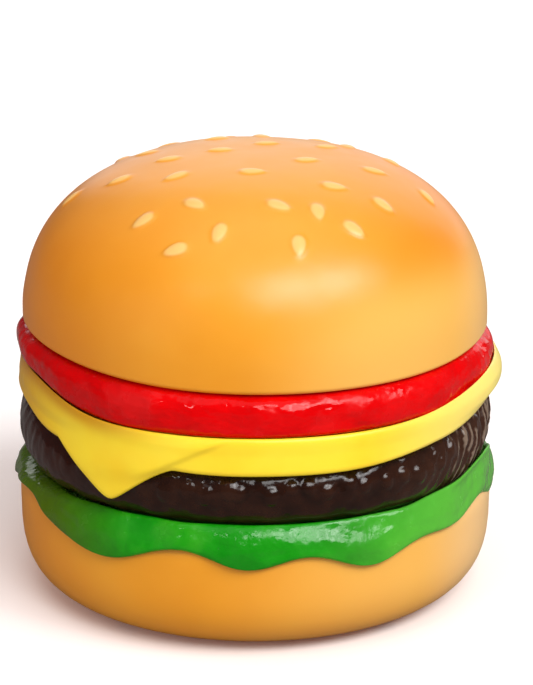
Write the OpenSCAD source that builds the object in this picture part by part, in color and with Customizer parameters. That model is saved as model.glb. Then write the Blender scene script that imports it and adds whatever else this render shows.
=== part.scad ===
// Flip-open novelty telephone shaped like a cheeseburger.
// The patty and everything under the slice of cheese is the base, with the keypad
// and the circuit board. The tomato and the top bun are the lid, with the earpiece.
// Millimetres, +Z up, front towards -Y, origin at the centre of the rubber foot.
// Azimuths are counted from the front, positive towards +X.

/* [Bottom bun] */
// Widest radius of the bottom bun
base_r = 62.45; // [62:0.05:62.6]
// Height at which the bottom bun is widest
base_wide_z = 25.2; // [24.6:0.1:25.8]
// Radius of the flat middle of the underside
base_flat_r = 33.9; // [32:0.1:34.4]
// How boxy the underside is, 2 is an ellipse
base_power = 3.35; // [3.1:0.05:3.5]
// Height of the bottom bun's rim
rim_z = 33; // [32.8:0.1:33]
// How far the rim draws in from the widest radius
rim_inset = 3.4; // [3.2:0.05:3.5]
// Wall thickness of both buns
wall = 2.4; // [2.2:0.1:2.6]
// Height of the bun's underside above the table
bun_lift = 0.8; // [0.7:0.1:0.9]

/* [Filling] */
// Radius of the patty's rounded edge
patty_r = 62.3; // [62:0.1:62.5]
// Top of the lettuce, where the patty rests
patty_z0 = 34.7; // [34.6:0.1:34.9]
// Top of the patty
patty_z1 = 51.5; // [51.4:0.1:51.6]
// How much higher the edge of the patty stands at the right
rise_right = 4.5; // [4:0.1:4.6]
// How much higher the edge of the patty stands at the left
rise_left = 4.2; // [3.8:0.1:4.3]
// Widest radius of the cheese where it is flat
cheese_r = 63.2; // [63.1:0.1:63.5]
// Top of the cheese, where the phone splits
cheese_top = 58.15; // [58.1:0.01:58.2]
// Gap between the base and the closed lid
seam_gap = 0.3; // [0.25:0.05:0.4]
// How far the cheese laps up the tomato at the right
lap_right = 4.8; // [4.2:0.1:4.8]
// How far the cheese laps up the tomato at the left
lap_left = 5.6; // [5:0.1:5.6]
// Thickness of a hanging corner of cheese
cheese_thick = 2.2; // [2:0.1:2.4]
// Radius of the lettuce between its lobes
lettuce_r = 63; // [62.8:0.1:63.2]
// Extra radius of the deepest lettuce lobes
lettuce_flare = 1.5; // [1.2:0.1:1.8]
// Height of the lettuce's frill beside the patty
frill_z = 36.7; // [36.4:0.1:37]
// Radius of the tomato slice
tomato_r = 62.4; // [62:0.1:62.6]
// Top of the tomato slice
tomato_top = 69.2; // [69:0.1:69.4]

/* [Top bun] */
// Radius of the top bun at its shoulder
top_r = 60.8; // [60.6:0.1:61]
// Height of the shoulder
shoulder_z = 70.6; // [70.5:0.1:70.8]
// Height of the crown
crown_z = 116; // [115.8:0.1:116.4]
// How boxy the crown is, 2 is an ellipse
top_power = 2.5; // [2.4:0.05:2.6]
// Radius of the top bun's lower lip
lip_r = 59; // [58.8:0.1:59.2]
// Length of a moulded sesame seed
seed_len = 6.6; // [6.2:0.1:7]
// Thickness of a seed
seed_thick = 3.2; // [3:0.1:3.4]
// How deep a seed sits in the bun
seed_sink = 0.8; // [0.7:0.1:0.9]

/* [Keypad] */
// Width of a key cap
key_w = 12; // [11:0.5:12.5]
// Depth of a dialling key cap
key_d = 9; // [8.5:0.5:9.5]
// Depth of a cap in the function row
func_d = 7; // [6.5:0.5:7]
// Gap between a cap and its opening, all round
key_gap = 0.3; // [0.25:0.05:0.35]
// Distance between key columns
pitch_x = 18; // [17.5:0.5:18]
// Distance between key rows
pitch_y = 14; // [14:0.1:14.2]
// Top of the keypad panel
deck_top = 55.5; // [55.3:0.1:55.6]
// Thickness of the keypad panel
deck_t = 2; // [1.9:0.1:2.1]
// Top of a key cap
key_top = 57.3; // [57:0.1:57.4]

/* [Hinge] */
// Distance of the hinge pin behind the centre
hinge_y = 66.5; // [66.4:0.1:66.6]
// Radius of the hinge knuckles
knuckle_r = 4.2; // [4.1:0.05:4.2]
// Radius of the hinge pin
pin_r = 1.5; // [1.5:0.05:1.6]
// Gap around the pin in the lid's barrel
pin_gap = 0.05; // [0.03:0.01:0.08]
// Half width of the lid's barrel
barrel_half = 12; // [11:0.5:12]
// Half width of the whole hinge
hinge_half = 18; // [18:0.5:18.5]

/* [Rear panel] */
// Distance of the rear panel behind the centre
rear_y = 54; // [53.8:0.1:54.2]
// Height of the middle of the rear panel
rear_z = 18; // [17.8:0.1:18.2]
// Distance of each slide switch from the line jack
switch_x = 17.5; // [17.3:0.1:17.7]
// Travel of each slide switch
switch_travel = 4; // [3.6:0.1:4]

/* [Hidden] */
$fn = 64;
eps = 0.02;
base_floor = 3.6;
hinge_z = cheese_top + seam_gap / 2;
deck_under = deck_top - deck_t;
lid_z0 = cheese_top + seam_gap;
bore_in = 54;
deck_r = 55.2;
panel_z0 = lid_z0 + 0.75;
panel_z1 = panel_z0 + 2.2;
panel_r = 53.7;
ledge_z = panel_z1 + 0.2;
seat_z = panel_z1 + 2.6;
boss_z = panel_z1 + 2.8;

// patty edge, an upright ellipse, and the step inside it that the panel stands in
nose_r = 56;
nose_a = patty_r - nose_r;
nose_z = (patty_z0 + patty_z1) / 2;
nose_b = (patty_z1 - patty_z0) / 2;
skin = 0.15;
step_r = 55.6;

// room in the tomato for the cheese that laps up its left side
lap_room_r = 60.4;
lap_x = 34.5;
lap_tilt = 12.8;

// screw columns that clamp the base together
column_x = 31.5;
column_y = 37.5;
column_r = 4;
head_z = 14;
column_split = 30;
screw_top = 40;

// lid screws, earpiece and switch places
lid_screw_x = 33;
lid_screw_y = 29;
ear_y = -9;
ear_r = 18;
mic_y = -44;
hook_x = 38;
hook_y = 20;
bumper_x = 42;
bumper_y = -28;

// board under the keys, and the top of the hook switch beside it
board_z1 = deck_under - 5.1;
board_z0 = board_z1 - 1.6;
hook_top = board_z1 - 3;
board_x = 26.5;
board_y0 = -37;
board_y1 = 34;
key_y0 = 27;
func_y = -30;
flange_w = key_w + 1.6;
flange_z = deck_under - 1.1;
flange_t = 0.8;
post_places = [for (x = [-9, 9], y = [20, -8, -22.5]) [x, y]];

// azimuth, depth below the collar and half width of each lettuce lobe
collar_z = rim_z + 0.6;
lobes = [
    [-36, 8.9, 16], [-1.5, 7.8, 13], [25, 8.9, 12], [52, 5.5, 14], [-71, 4, 14],
    [84, 7.5, 14], [112, 6, 13], [142, 8, 15], [172, 5, 13], [-158, 5.5, 14],
    [-128, 6, 13], [-98, 8.2, 14]
];

// azimuth, depth, left and right half width of each hanging corner of cheese
corners = [[-34, 10.8, 15.5, 14], [124, 8, 15, 16], [-122, 7, 15, 14]];
corner_blunt = 1.8;

// azimuth, distance from the crown and heading of each sesame seed
front_seeds = [
    [-38, 44.5, -26], [-23, 37.5, 69], [-11, 45.5, -12], [-22.5, 50, -62], [9, 37, 56],
    [22.5, 40, -12], [31.5, 46, 33], [12.5, 48.5, -9], [38.5, 31.5, 51], [-2, 20, 89],
    [-47, 27, -19], [-73, 36, -18], [55, 16, 55], [50, 41.5, 6], [75, 31.5, 24],
    [-90, 9, 4], [-80, 22.5, -12], [-86, 47.5, 2], [77.5, 45, -40], [-60, 47.5, 20]
];
rear_seeds = [
    [113, 20.3, 9], [122, 28.8, 33], [-108, 29.6, 5], [158, 8, -64], [176, 22, 30],
    [-150, 20, 80], [148, 33, -50], [-168, 34, 10], [-140, 36, 60], [-118, 40, -30],
    [105, 37, -70], [130, 43, 20], [158, 44, 75], [180, 46, -15], [-160, 47, 50],
    [-134, 47.5, 5]
];

// wire routes
wire_r = 0.8;
line_route = [[2, 37.5, 18], [2, 34, 18], [3, 30, 24], [3, 28, 36], [3, 28, 46.8]];
bell_route = [[-3, 16, 11], [-3, 16, 18], [-4.5, 16.5, 30], [-5, 17, 39], [-5, 17, 46.8]];
mic_route = [[-1.5, -44, 48], [-1.5, -44, 43], [-2, -38, 40], [-2, -33, 42], [-2, -33, 46.8]];
hook_route = [[31, 19, 42], [28, 19, 42], [25, 18, 41], [24, 17, 43], [24, 17, 46.8]];
hinge_route = [[9, 47, 53.5], [9, 47, 49], [9, 42, 44], [8, 33, 42], [7, 30, 44], [7, 30, 46.8]];
ear_route = [[0, -5, 76], [0, -5, 79], [1, 6, 81], [3, 24, 76], [5, 42, 69], [5, 48, 65], [5, 48, 61.4]];

// ---- outlines ----

// A quarter of a superellipse from its side (0) to its tip (90), moved inward by inset
function bulge(r0, a, z0, b, n, inset = 0, steps = 14) = [
    for (i = [0 : steps])
        let (
            t = 90 * i / steps,
            nr = pow(cos(t), 2 - 2 / n) / a,
            nz = pow(sin(t), 2 - 2 / n) / b,
            k = inset / norm([nr, nz])
        )
        [r0 + a * pow(cos(t), 2 / n) - nr * k, z0 + b * pow(sin(t), 2 / n) - nz * k]
];

function reversed(list) = [for (i = [len(list) - 1 : -1 : 0]) list[i]];

// Radius of the bottom bun above its widest ring
function bun_side(z) =
    base_r - rim_inset * pow(max(0, z - base_wide_z) / (rim_z - base_wide_z), 2.6);

function base_outline(inset) = concat(
    [[0, 0]],
    reversed(bulge(base_flat_r, base_r - base_flat_r, base_wide_z, -base_wide_z,
        base_power, inset)),
    [for (i = [1 : 6]) let (z = base_wide_z + (rim_z - base_wide_z) * i / 6)
        [bun_side(z) - inset, z]],
    [[0, rim_z]]
);

function top_outline(inset) = concat(
    [[0, tomato_top], [lip_r - inset, tomato_top]],
    inset > 0 ? [] : reversed(bulge(lip_r, top_r - lip_r, shoulder_z,
        tomato_top - shoulder_z, 2.2, 0, 6)),
    bulge(0, top_r, shoulder_z, crown_z - shoulder_z, top_power, inset, 20)
);

module rounded_plate(w, d, h, r) {
    linear_extrude(h) rounded(w, d, r);
}

module rounded(w, d, r) {
    square([w - 2 * r, d], center = true);
    square([w, d - 2 * r], center = true);
    for (x = [-1, 1], y = [-1, 1])
        translate([x * (w / 2 - r), y * (d / 2 - r)]) circle(r);
}

module ring(r0, r1, z0, z1) {
    rotate_extrude() translate([r0, z0]) square([r1 - r0, z1 - z0]);
}

module rod(r, z0, z1) {
    translate([0, 0, z0]) cylinder(r = r, h = z1 - z0);
}

module four(x, y) {
    for (i = [-1, 1], j = [-1, 1]) translate([i * x, j * y, 0]) children();
}

// ---- lofted solids ----

// Triangles that join sections of m points into a tube, or into a loop
function loft_faces(n, m, loop) = concat(
    [for (i = [0 : loop ? n - 1 : n - 2], j = [0 : m - 1])
        let (a = i * m, b = ((i + 1) % n) * m, k = (j + 1) % m)
        each [[a + j, a + k, b + j], [a + k, b + k, b + j]]],
    loop ? [] : [reversed([for (j = [0 : m - 1]) j]),
        [for (j = [0 : m - 1]) (n - 1) * m + j]]
);

module loft(sections, loop = false) {
    polyhedron(
        points = [for (s = sections) each s],
        faces = loft_faces(len(sections), len(sections[0]), loop),
        convexity = 6
    );
}

function around(az, r, z) = [r * sin(az), -r * cos(az), z];

// A smooth route through hand-set points, with steps pieces between each pair
function spline(p, steps) = [
    for (i = [0 : len(p) - 2], k = [0 : steps - (i == len(p) - 2 ? 0 : 1)])
        let (
            t = k / steps,
            a = p[max(i - 1, 0)],
            b = p[i],
            c = p[i + 1],
            d = p[min(i + 2, len(p) - 1)]
        )
        b + 0.5 * t * ((c - a) + t * ((2 * a - 5 * b + 4 * c - d)
            + t * (3 * b - a - 3 * c + d)))
];

function unit(v) = v / norm(v);

module wire(route, r = wire_r, sides = 8) {
    path = spline(route, 3);
    last = len(path) - 1;
    start = unit(route[1] - route[0]);
    finish = unit(route[len(route) - 1] - route[len(route) - 2]);
    side = unit([1, 0.21, 0.13]);
    loft([
        for (i = [0 : last])
            let (
                t = i == 0 ? start : i == last ? finish : unit(path[i + 1] - path[i - 1]),
                u = unit(cross(t, cross(side, t))),
                v = cross(t, u)
            )
            [for (j = [0 : sides - 1]) path[i]
                + r * (cos(360 * j / sides) * u + sin(360 * j / sides) * v)]
    ]);
}

// ---- base shells ----

module column_bore() {
    rod(1.7, 0, column_split + 1);
    rod(3.6, 0, head_z);
}

module bottom_bun() {
    color("#E6A043") difference() {
        union() {
            difference() {
                bun_solid(0);
                difference() {
                    bun_solid(wall);
                    translate([0, 0, -eps]) rod(base_r, 0, base_floor);
                }
            }
            intersection() {
                bun_solid(0);
                union() {
                    four(column_x, column_y) rod(5.4, 0, column_split);
                    translate([-31, rear_y - 2.4, rear_z - 10]) cube([62, 20, 20]);
                }
            }
        }
        four(column_x, column_y) column_bore();
        ring(36.9, 42.1, 0, 2);
        translate([-27, rear_y, rear_z - 8]) cube([54, 20, 16]);
        translate([-6.8, rear_y - 5, rear_z - 6.5]) cube([13.6, 10, 13]);
        for (x = [-switch_x, switch_x])
            translate([x - 4.3, rear_y - 5, rear_z - 1.7]) cube([8.6, 10, 3.4]);
        for (a = [0 : 60 : 359])
            translate([5 * cos(a), 22 + 5 * sin(a), 0]) rod(1, 0, base_floor + 1);
    }
}

module bun_solid(inset) {
    rotate_extrude() intersection() {
        polygon(base_outline(inset));
        translate([0, bun_lift]) square([base_r + 1, rim_z]);
    }
}

module foot_ring() {
    color("#2B2A29") rotate_extrude()
        polygon([[37.4, 0], [41.6, 0], [42, 0.4], [42, 2], [37, 2], [37, 0.4]]);
}

// Height of the lettuce's lower edge
function leaf_z(az) = collar_z - leaf_drop(az, 0);

function leaf_drop(az, i) = i == len(lobes) ? 0 :
    let (d = (az - lobes[i][0] + 540) % 360 - 180)
    lobes[i][1] * exp(-pow(d / lobes[i][2], 2)) + leaf_drop(az, i + 1);

// Height of its frill, which follows the patty up at the right and dips at the left
function frill(az) = frill_z + 5 * hump(az, 85, 33) - 1.5 * hump(az, -70, 22);

// The leaf's inside follows the patty's edge above the rim, and the bun's side below it
function leaf_section(az) =
    let (
        low = leaf_z(az),
        crest = frill(az),
        out = lettuce_r + lettuce_flare * min(1, (collar_z - low) / 9),
        end = nose_turn(az, crest),
        over = [for (k = [0 : 4]) nose_point(az, mix2(-90, end, k / 4), skin)],
        side = [for (k = [5 : -1 : 0])
            let (z = mix2(rim_z, low + 0.3, k / 5)) [bun_side(z) + 0.25, z]]
    )
    [for (p = concat(
        [[bore_in + 0.5, over[0][1]]],
        over,
        [[min(over[4][0] + 0.9, out - 0.2), crest], [out, mix2(low, crest, 0.72)],
            [out, mix2(low, crest, 0.35)], [out - 0.4, low + 0.8], [out - 1.3, low]],
        side,
        [[bore_in + 0.5, rim_z + 0.05]]
    )) around(az, p[0], p[1])];

module lettuce() {
    color("#2C9A2E") loft([for (i = [0 : 119]) leaf_section(i * 3 - 180)], true);
}

// A smooth swelling around one azimuth
function hump(az, at, half) = exp(-pow(abs(az - at) / half, 3));

// How much higher the edge of the patty stands at an azimuth
function rise(az) = rise_right * hump(az, 85, 30) + rise_left * hump(az, -85, 23.3);

// Point of the patty's edge at angle t, moved outward by gap, and the angle of a height
function nose_point(az, t, gap) =
    [nose_r + (nose_a + gap) * cos(t), nose_z + rise(az) / 2
        + (nose_b + rise(az) / 2 + gap) * sin(t)];
function nose_turn(az, z) =
    asin((z - nose_z - rise(az) / 2) / (nose_b + rise(az) / 2 + skin));

function patty_section(az) = [for (p = concat(
    [[bore_in, patty_z0]],
    [for (t = [-90 : 18 : 90]) nose_point(az, t, 0)],
    [[step_r, patty_z1 + rise(az)], [step_r - 0.1, patty_z1], [bore_in, patty_z1]]
)) around(az, p[0], p[1])];

module patty() {
    color("#3A2018") loft([for (i = [0 : 95]) patty_section(i * 3.75 - 180)], true);
}

// How far a corner of cheese hangs at an azimuth, blunt at its tip
function corner_drop(az, c) =
    let (
        d = (az - c[0] + 540) % 360 - 180,
        far = sqrt(d * d + corner_blunt * corner_blunt) - corner_blunt,
        u = far / (d < 0 ? c[2] : c[3])
    )
    c[1] * pow(max(0, 1 - u), d < 0 ? 1 : 1.35);

// Height of the cheese's lower edge: it sags a little at the front
function cheese_low(az) =
    patty_z1 + rise(az) - 1.9 * exp(-pow((az - 5) / 32, 4))
        - max([for (c = corners) corner_drop(az, c)]);

function mix2(a, b, w) = a * (1 - w) + b * w;

// How far the cheese laps up the tomato at each side
function lap(az, left) = left ? lap_left * hump(az, -80, 31.5) : lap_right * hump(az, 85, 34);

// radius, height over the cheese's top, what one millimetre of lap at the left and at the
// right adds to the radius, and what it adds to the height, for each point of the lip
cheese_lip = [
    [60.8, 0, 0, 0, 0], [61.5, 0.4, -0.12, 0.19, 0.45], [61.9, 0.75, -0.18, 0.19, 0.8],
    [62.4, 0.8, -0.2, 0.13, 1]
];

function cheese_section(az, plane_x) =
    let (
        lift = rise(az),
        left = lap(az, true),
        right = lap(az, false),
        top = nose_point(az, 90, skin)[1],
        low = min(cheese_low(az), top - 0.15),
        bow = 1.7 * exp(-pow((az - 80) / 26, 2)) - 1.3 * exp(-pow((az + 90) / 40, 2)),
        lip = [for (q = cheese_lip)
            [q[0] + q[2] * left + q[3] * right, cheese_top + q[1] + q[4] * (left + right)]],
        wall_z = cheese_top - 3.15 + 0.75 * lift,
        side = [[cheese_r - 0.2 + bow, cheese_top + 0.2 + 0.62 * lift],
            [cheese_r + bow, cheese_top - 1.15 + 0.67 * lift], [cheese_r + bow, wall_z]],
        hung = [for (k = [1 : 3]) let (h = mix2(wall_z, low + 0.9, k / 3))
            [cheese_r + bow * (1 - k / 3)
                + (patty_r + skin + cheese_thick - cheese_r) * (wall_z - h) / 12, h]],
        under = [for (k = [0 : 6]) nose_point(az, mix2(nose_turn(az, low), 90, k / 6), skin)],
        inner = [[step_r - 0.1, top], [step_r - 0.1, cheese_top]]
    )
    [for (p = concat(lip, side, hung, [[hung[2][0] - 0.9, low]], under, inner))
        let (a = plane_x == 0 ? az : 180 - asin(plane_x / p[0]))
        around(a, p[0], p[1])];

// The slice is open at the back for the hinge, with flat ends at each side of it
module cheese() {
    steps = 150;
    half = 161;
    gap_x = hinge_half + 0.5;
    color("#FBDA38") loft(concat(
        [cheese_section(-half, -gap_x)],
        [for (i = [0 : steps]) cheese_section(half * (2 * i / steps - 1), 0)],
        [cheese_section(half, gap_x)]
    ));
}

// ---- base panel and hinge ----

module hinge_turn() {
    translate([0, hinge_y, hinge_z]) rotate([0, 90, 0]) children();
}

module keypad_openings() {
    for (x = [-1 : 1]) {
        for (y = [0 : 3])
            translate([x * pitch_x, key_y0 - y * pitch_y])
                rounded(key_w + 2 * key_gap, key_d + 2 * key_gap, 2.3);
        translate([x * pitch_x, func_y])
            rounded(key_w + 2 * key_gap, func_d + 2 * key_gap, 2.3);
    }
}

module knuckle_bore(r) {
    hinge_turn() cylinder(r = r, h = 60, center = true);
}

module keypad_panel() {
    color("#E9D3A6") difference() {
        union() {
            difference() {
                rod(deck_r, deck_under, deck_top);
                translate([0, 0, deck_under - 1]) linear_extrude(deck_t + 2) keypad_openings();
                for (x = [-5, -2.5, 0, 2.5, 5])
                    translate([x, mic_y, 0]) rod(0.7, deck_under - 1, deck_top + 1);
                translate([hook_x, hook_y, 0]) rod(3.3, deck_under - 1, deck_top + 1);
            }
            ring(53.2, deck_r, patty_z1, deck_under + eps);
            four(column_x, column_y) rod(column_r, column_split, deck_under + eps);
            for (p = post_places)
                translate([p[0], p[1], 0]) rod(1.8, board_z1, deck_under + eps);
            for (s = [-1, 1])
                translate([hook_x + s * 5.4, hook_y + s * 3.4, 0])
                    rod(1.5, hook_top, deck_under + eps);
            hinge_block();
        }
        four(column_x, column_y) rod(1.3, column_split - 1, screw_top + 2);
        knuckle_bore(pin_r);
    }
}

// Block behind the panel that carries the two outer knuckles
module hinge_block() {
    block_top = hinge_z - knuckle_r - 0.4;
    intersection() {
        translate([-hinge_half, 50, patty_z1 + 0.1])
            cube([2 * hinge_half, hinge_y + knuckle_r - 50, 20]);
        union() {
            difference() {
                translate([-hinge_half, 50, patty_z1 + 0.1])
                    cube([2 * hinge_half, hinge_y + knuckle_r - 50, block_top - patty_z1 - 0.1]);
                rod(54.5, patty_z1 - 5, hinge_z + 5);
            }
            for (s = [-1, 1]) translate([s * (barrel_half + hinge_half + 0.3) / 2, 0, 0]) {
                hinge_turn() cylinder(r = knuckle_r, h = knuckle_len(), center = true);
                translate([-knuckle_len() / 2, hinge_y - knuckle_r, patty_z1 + 0.1])
                    cube([knuckle_len(), 2 * knuckle_r, hinge_z - patty_z1 - 0.1]);
                translate([-knuckle_len() / 2, 56, patty_z1 + 0.1])
                    cube([knuckle_len(), 8, cheese_top - patty_z1 - 0.1]);
            }
        }
    }
}

function knuckle_len() = hinge_half - barrel_half - 0.3;

module hinge_pin() {
    color("#B9BCC0") hinge_turn() {
        cylinder(r = pin_r, h = 2 * hinge_half + 1, center = true);
        for (s = [-1, 1]) translate([0, 0, s * (hinge_half + 0.5)])
            cylinder(r = pin_r + 0.7, h = 0.8, center = true);
    }
}

// ---- keys ----

module key(col, row, d) {
    y = row < 4 ? key_y0 - row * pitch_y : func_y;
    color("#4A2C1C") translate([(col - 1) * pitch_x, y, 0]) {
        translate([0, 0, flange_z]) rounded_plate(flange_w, d + 1.6, flange_t, 2.4);
        translate([0, 0, flange_z]) rounded_plate(key_w, d, key_top - 0.6 - flange_z, 2);
        translate([0, 0, key_top - 0.7]) rounded_plate(key_w - 1, d - 1, 0.7, 1.6);
    }
}

module rubber_keypad() {
    mat_top = board_z1 + 1;
    color("#8D8F92") difference() {
        union() {
            translate([-board_x + 0.8, board_y0 + 0.8, board_z1])
                cube([2 * board_x - 1.6, board_y1 - board_y0 - 1.6, 1]);
            for (x = [-1 : 1]) {
                for (y = [0 : 3])
                    translate([x * pitch_x, key_y0 - y * pitch_y, mat_top - eps])
                        dome(flange_z - mat_top);
                translate([x * pitch_x, func_y, mat_top - eps]) dome(flange_z - mat_top);
            }
        }
        for (p = post_places) translate([p[0], p[1], 0]) rod(2.1, board_z1 - 1, mat_top + 4);
    }
}

module dome(h) {
    cylinder(r1 = 3.9, r2 = 3, h = h * 0.6);
    cylinder(r = 2.4, h = h);
}

// ---- circuit ----

module main_board() {
    color("#2F6B3C") difference() {
        translate([-board_x, board_y0, board_z0])
            cube([2 * board_x, board_y1 - board_y0, board_z1 - board_z0]);
        for (p = post_places) translate([p[0], p[1], 0]) rod(1.2, board_z0 - 1, board_z1 + 1);
    }
}

module dial_chip() {
    color("#1E1E20") {
        translate([-11.5, 4.8, board_z0 - 3.6]) cube([23, 6.4, 3]);
        for (i = [0 : 8], s = [-1, 1])
            translate([-10.16 + i * 2.54 - 0.25, 8 + s * 3 - 0.25, board_z0 - 0.7])
                cube([0.5, 0.5, 0.7]);
    }
}

module capacitors() {
    color("#23324F") for (c = [[-18, 18, 4, 11], [-18, -3, 3.2, 9], [18, -3, 3.2, 9], [17, 24, 2.6, 7]])
        translate([c[0], c[1], board_z0 - c[3]]) cylinder(r = c[2], h = c[3]);
}

module transistors() {
    color("#17181A") for (x = [-9, -3, 3, 9])
        translate([x, -13, board_z0 - 6]) linear_extrude(6) intersection() {
            circle(2.4);
            translate([-3, -1.2]) square([6, 4]);
        }
}

module resistors() {
    color("#C9A36B") for (x = [-10, 10], y = [-18, -27, -31])
        translate([x, y, board_z0 - 1.2]) rotate([0, 90, 0])
            cylinder(r = 1.15, h = 6.4, center = true);
}

module resonator() {
    color("#B98A3A") translate([17, 11, board_z0 - 6]) rounded_plate(7.6, 3.2, 6, 1.5);
}

module ringer() {
    color("#222326") translate([0, 22, 0]) difference() {
        rod(15, base_floor, 11);
        ring(4, 13.4, base_floor - 1, 7);
        rod(4 + eps, base_floor - 1, 5.4);
    }
}

module mic_boot() {
    color("#2A2A2C") translate([0, mic_y, 0]) difference() {
        rod(6.4, deck_under - 6.5, deck_under);
        rod(4.9, deck_under - 7, deck_under + 1);
    }
}

module microphone() {
    color("#A9ABAF") translate([0, mic_y, 0]) rod(4.85, deck_under - 5.5, deck_under - 0.7);
}

// ---- hook switch ----

module hook_switch() {
    color("#242528") difference() {
        translate([hook_x - 7, hook_y - 5, hook_top - 7.4]) cube([14, 10, 7.4]);
        translate([hook_x, hook_y, 0]) rod(1.55, hook_top - 5.9, hook_top + 5);
    }
}

module hook_spring() {
    turns = 4.5;
    steps = 54;
    color("#B9BCC0") translate([hook_x, hook_y, 0]) loft([
        for (i = [0 : steps])
            let (a = 360 * turns * i / steps, z = hook_top + 0.35 + 3.6 * i / steps)
            [for (j = [0 : 5]) let (b = 60 * j, r = 2.5 + 0.3 * cos(b))
                [r * cos(a), r * sin(a), z + 0.3 * sin(b)]]
    ]);
}

module hook_plunger() {
    color("#E9D3A6") translate([hook_x, hook_y, 0]) {
        rod(1.5, hook_top - 3.6, hook_top + 4.4);
        rod(4.2, hook_top + 4.3, hook_top + 5.3);
        rod(3, hook_top + 5.2, hook_top + 12);
    }
}

// ---- rear panel ----

module line_jack() {
    color("#26272A") translate([0, 0, rear_z]) difference() {
        translate([-6.7, 37.5, -6.4]) cube([13.4, rear_y + 0.6 - 37.5, 12.8]);
        translate([-4.95, 42.5, -2.9]) cube([9.9, 20, 7]);
        translate([-3.1, 44.5, -4.7]) cube([6.2, 20, 3]);
    }
}

// Four sprung wires that slope down into the socket
module jack_contacts() {
    color("#D9B45A") for (x = [-1.5, -0.5, 0.5, 1.5])
        translate([x * 1.02 - 0.2, 0, rear_z]) rotate([90, 0, 90]) linear_extrude(0.4)
            polygon([[52, 4.1], [44.5, 2.2], [44.5, 1.8], [52.6, 3.8], [52.6, 4.1]]);
}

module switch_body(x) {
    translate([x, 0, rear_z]) difference() {
        translate([-6, 45.6, -3.4]) cube([12, rear_y - 2.4 - 45.6, 6.8]);
        translate([-4.9, 48.2, -2.1]) cube([9.8, 10, 4.2]);
    }
}

module switch_slider(x) {
    translate([x, 0, rear_z]) {
        translate([-2.5, 48.5, -1.8]) cube([5, 2.7, 3.6]);
        translate([-2, 51, -1.4]) cube([4, rear_y + 1.6 - 51, 2.8]);
    }
}

module tone_switch() {
    color("#26272A") switch_body(-switch_x);
}

module ringer_switch() {
    color("#26272A") switch_body(switch_x);
}

// Both sliders are stored at the -X end of their slots
module tone_slider() {
    color("#D8D5CC") switch_slider(-switch_x - switch_travel / 2);
}

module ringer_slider() {
    color("#D8D5CC") switch_slider(switch_x - switch_travel / 2);
}

// ---- base fittings ----

module ballast_plate() {
    color("#7D8085") translate([0, -18, 0]) difference() {
        rod(23.5, base_floor, 9.6);
        rod(2, base_floor - 1, 12);
    }
}

module base_screws() {
    color("#B9BCC0") four(column_x, column_y) {
        rod(3.1, head_z - 2.2, head_z);
        rod(1.25, head_z - 0.1, screw_top);
    }
}

module board_screws() {
    color("#B9BCC0") for (p = post_places) translate([p[0], p[1], 0]) {
        rod(2, board_z0 - 1.4, board_z0);
        rod(1.15, board_z0 - 0.1, board_z1);
    }
}

module base_wires() {
    color("#B3262A") {
        wire(line_route);
        wire([for (p = line_route) [-p[0], p[1], p[2]]]);
        wire(bell_route);
        wire(mic_route);
        wire(hook_route);
        wire(hinge_route);
    }
}

// ---- lid ----

// Height of the top bun's skin at a distance from its axis
function dome_z(r) =
    shoulder_z + (crown_z - shoulder_z) * pow(1 - pow(r / top_r, top_power), 1 / top_power);

// Tilt of the skin there, 0 at the crown
function dome_tilt(r) =
    let (h = crown_z - shoulder_z, k = top_power - 1)
    atan2(pow(r / top_r, k) / top_r, pow((dome_z(r) - shoulder_z) / h, k) / h);

module seed(az, r, heading) {
    half = seed_len / 2;
    w = seed_thick / 2;
    arc = (half * half + w * w) / (2 * w);
    rotate([0, 0, az - 90]) translate([r, 0, dome_z(r)]) rotate([0, dome_tilt(r), 0])
        rotate([0, 0, heading]) translate([0, 0, -seed_sink]) rotate([0, 90, 0])
            rotate_extrude() intersection() {
                translate([w - arc, 0]) circle(arc);
                translate([0, -half]) square([w, seed_len]);
            }
}

module top_bun() {
    color("#EBA549") difference() {
        union() {
            difference() {
                rotate_extrude() polygon(top_outline(0));
                translate([0, 0, -eps]) rotate_extrude() polygon(top_outline(wall));
            }
            intersection() {
                rotate_extrude() polygon(top_outline(wall / 2));
                four(lid_screw_x, lid_screw_y) rod(4, tomato_top - 5, crown_z);
            }
            four(lid_screw_x, lid_screw_y) rod(4, boss_z, tomato_top + 2);
            for (s = front_seeds) seed(s[0], s[1], s[2]);
            for (s = rear_seeds) seed(s[0], s[1], s[2]);
        }
        four(lid_screw_x, lid_screw_y) rod(1.3, boss_z - 0.2, boss_z + 14.8);
    }
}

// Room for the cheese where it laps up the left side, under a plane that rises leftwards
module lap_room() {
    intersection() {
        ring(lap_room_r, tomato_r + 1, lid_z0 - 1, tomato_top - 2);
        translate([-lap_x, 0, lid_z0 + 1.4]) rotate([0, lap_tilt, 0])
            translate([-60, -70, -20]) cube([60, 140, 20]);
    }
}

module tomato() {
    edge_r = (tomato_top - lid_z0) / 2;
    mid = (tomato_top + lid_z0) / 2;
    color("#D2140F") difference() {
        rotate_extrude() {
            difference() {
                union() {
                    translate([tomato_r - edge_r, mid]) circle(edge_r);
                    translate([50, lid_z0]) square([tomato_r - edge_r - 50, 2 * edge_r]);
                }
                translate([40, lid_z0 - 1]) square([bore_in - 40, ledge_z - lid_z0 + 1]);
                translate([40, boss_z]) square([bore_in - 40, 10]);
            }
        }
        translate([-barrel_half - 0.3, 45, lid_z0 - 1])
            cube([2 * barrel_half + 0.6, 30, ledge_z - lid_z0 + 1.1]);
        hinge_turn() cylinder(r = knuckle_r + 0.6, h = 2 * hinge_half + 2, center = true);
        lap_room();
    }
}

module ear_slots() {
    for (x = [-3 : 3])
        translate([x * 3.2, ear_y]) rounded(1.6, 2 * sqrt(144 - pow(x * 3.2, 2)), 0.79);
}

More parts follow.
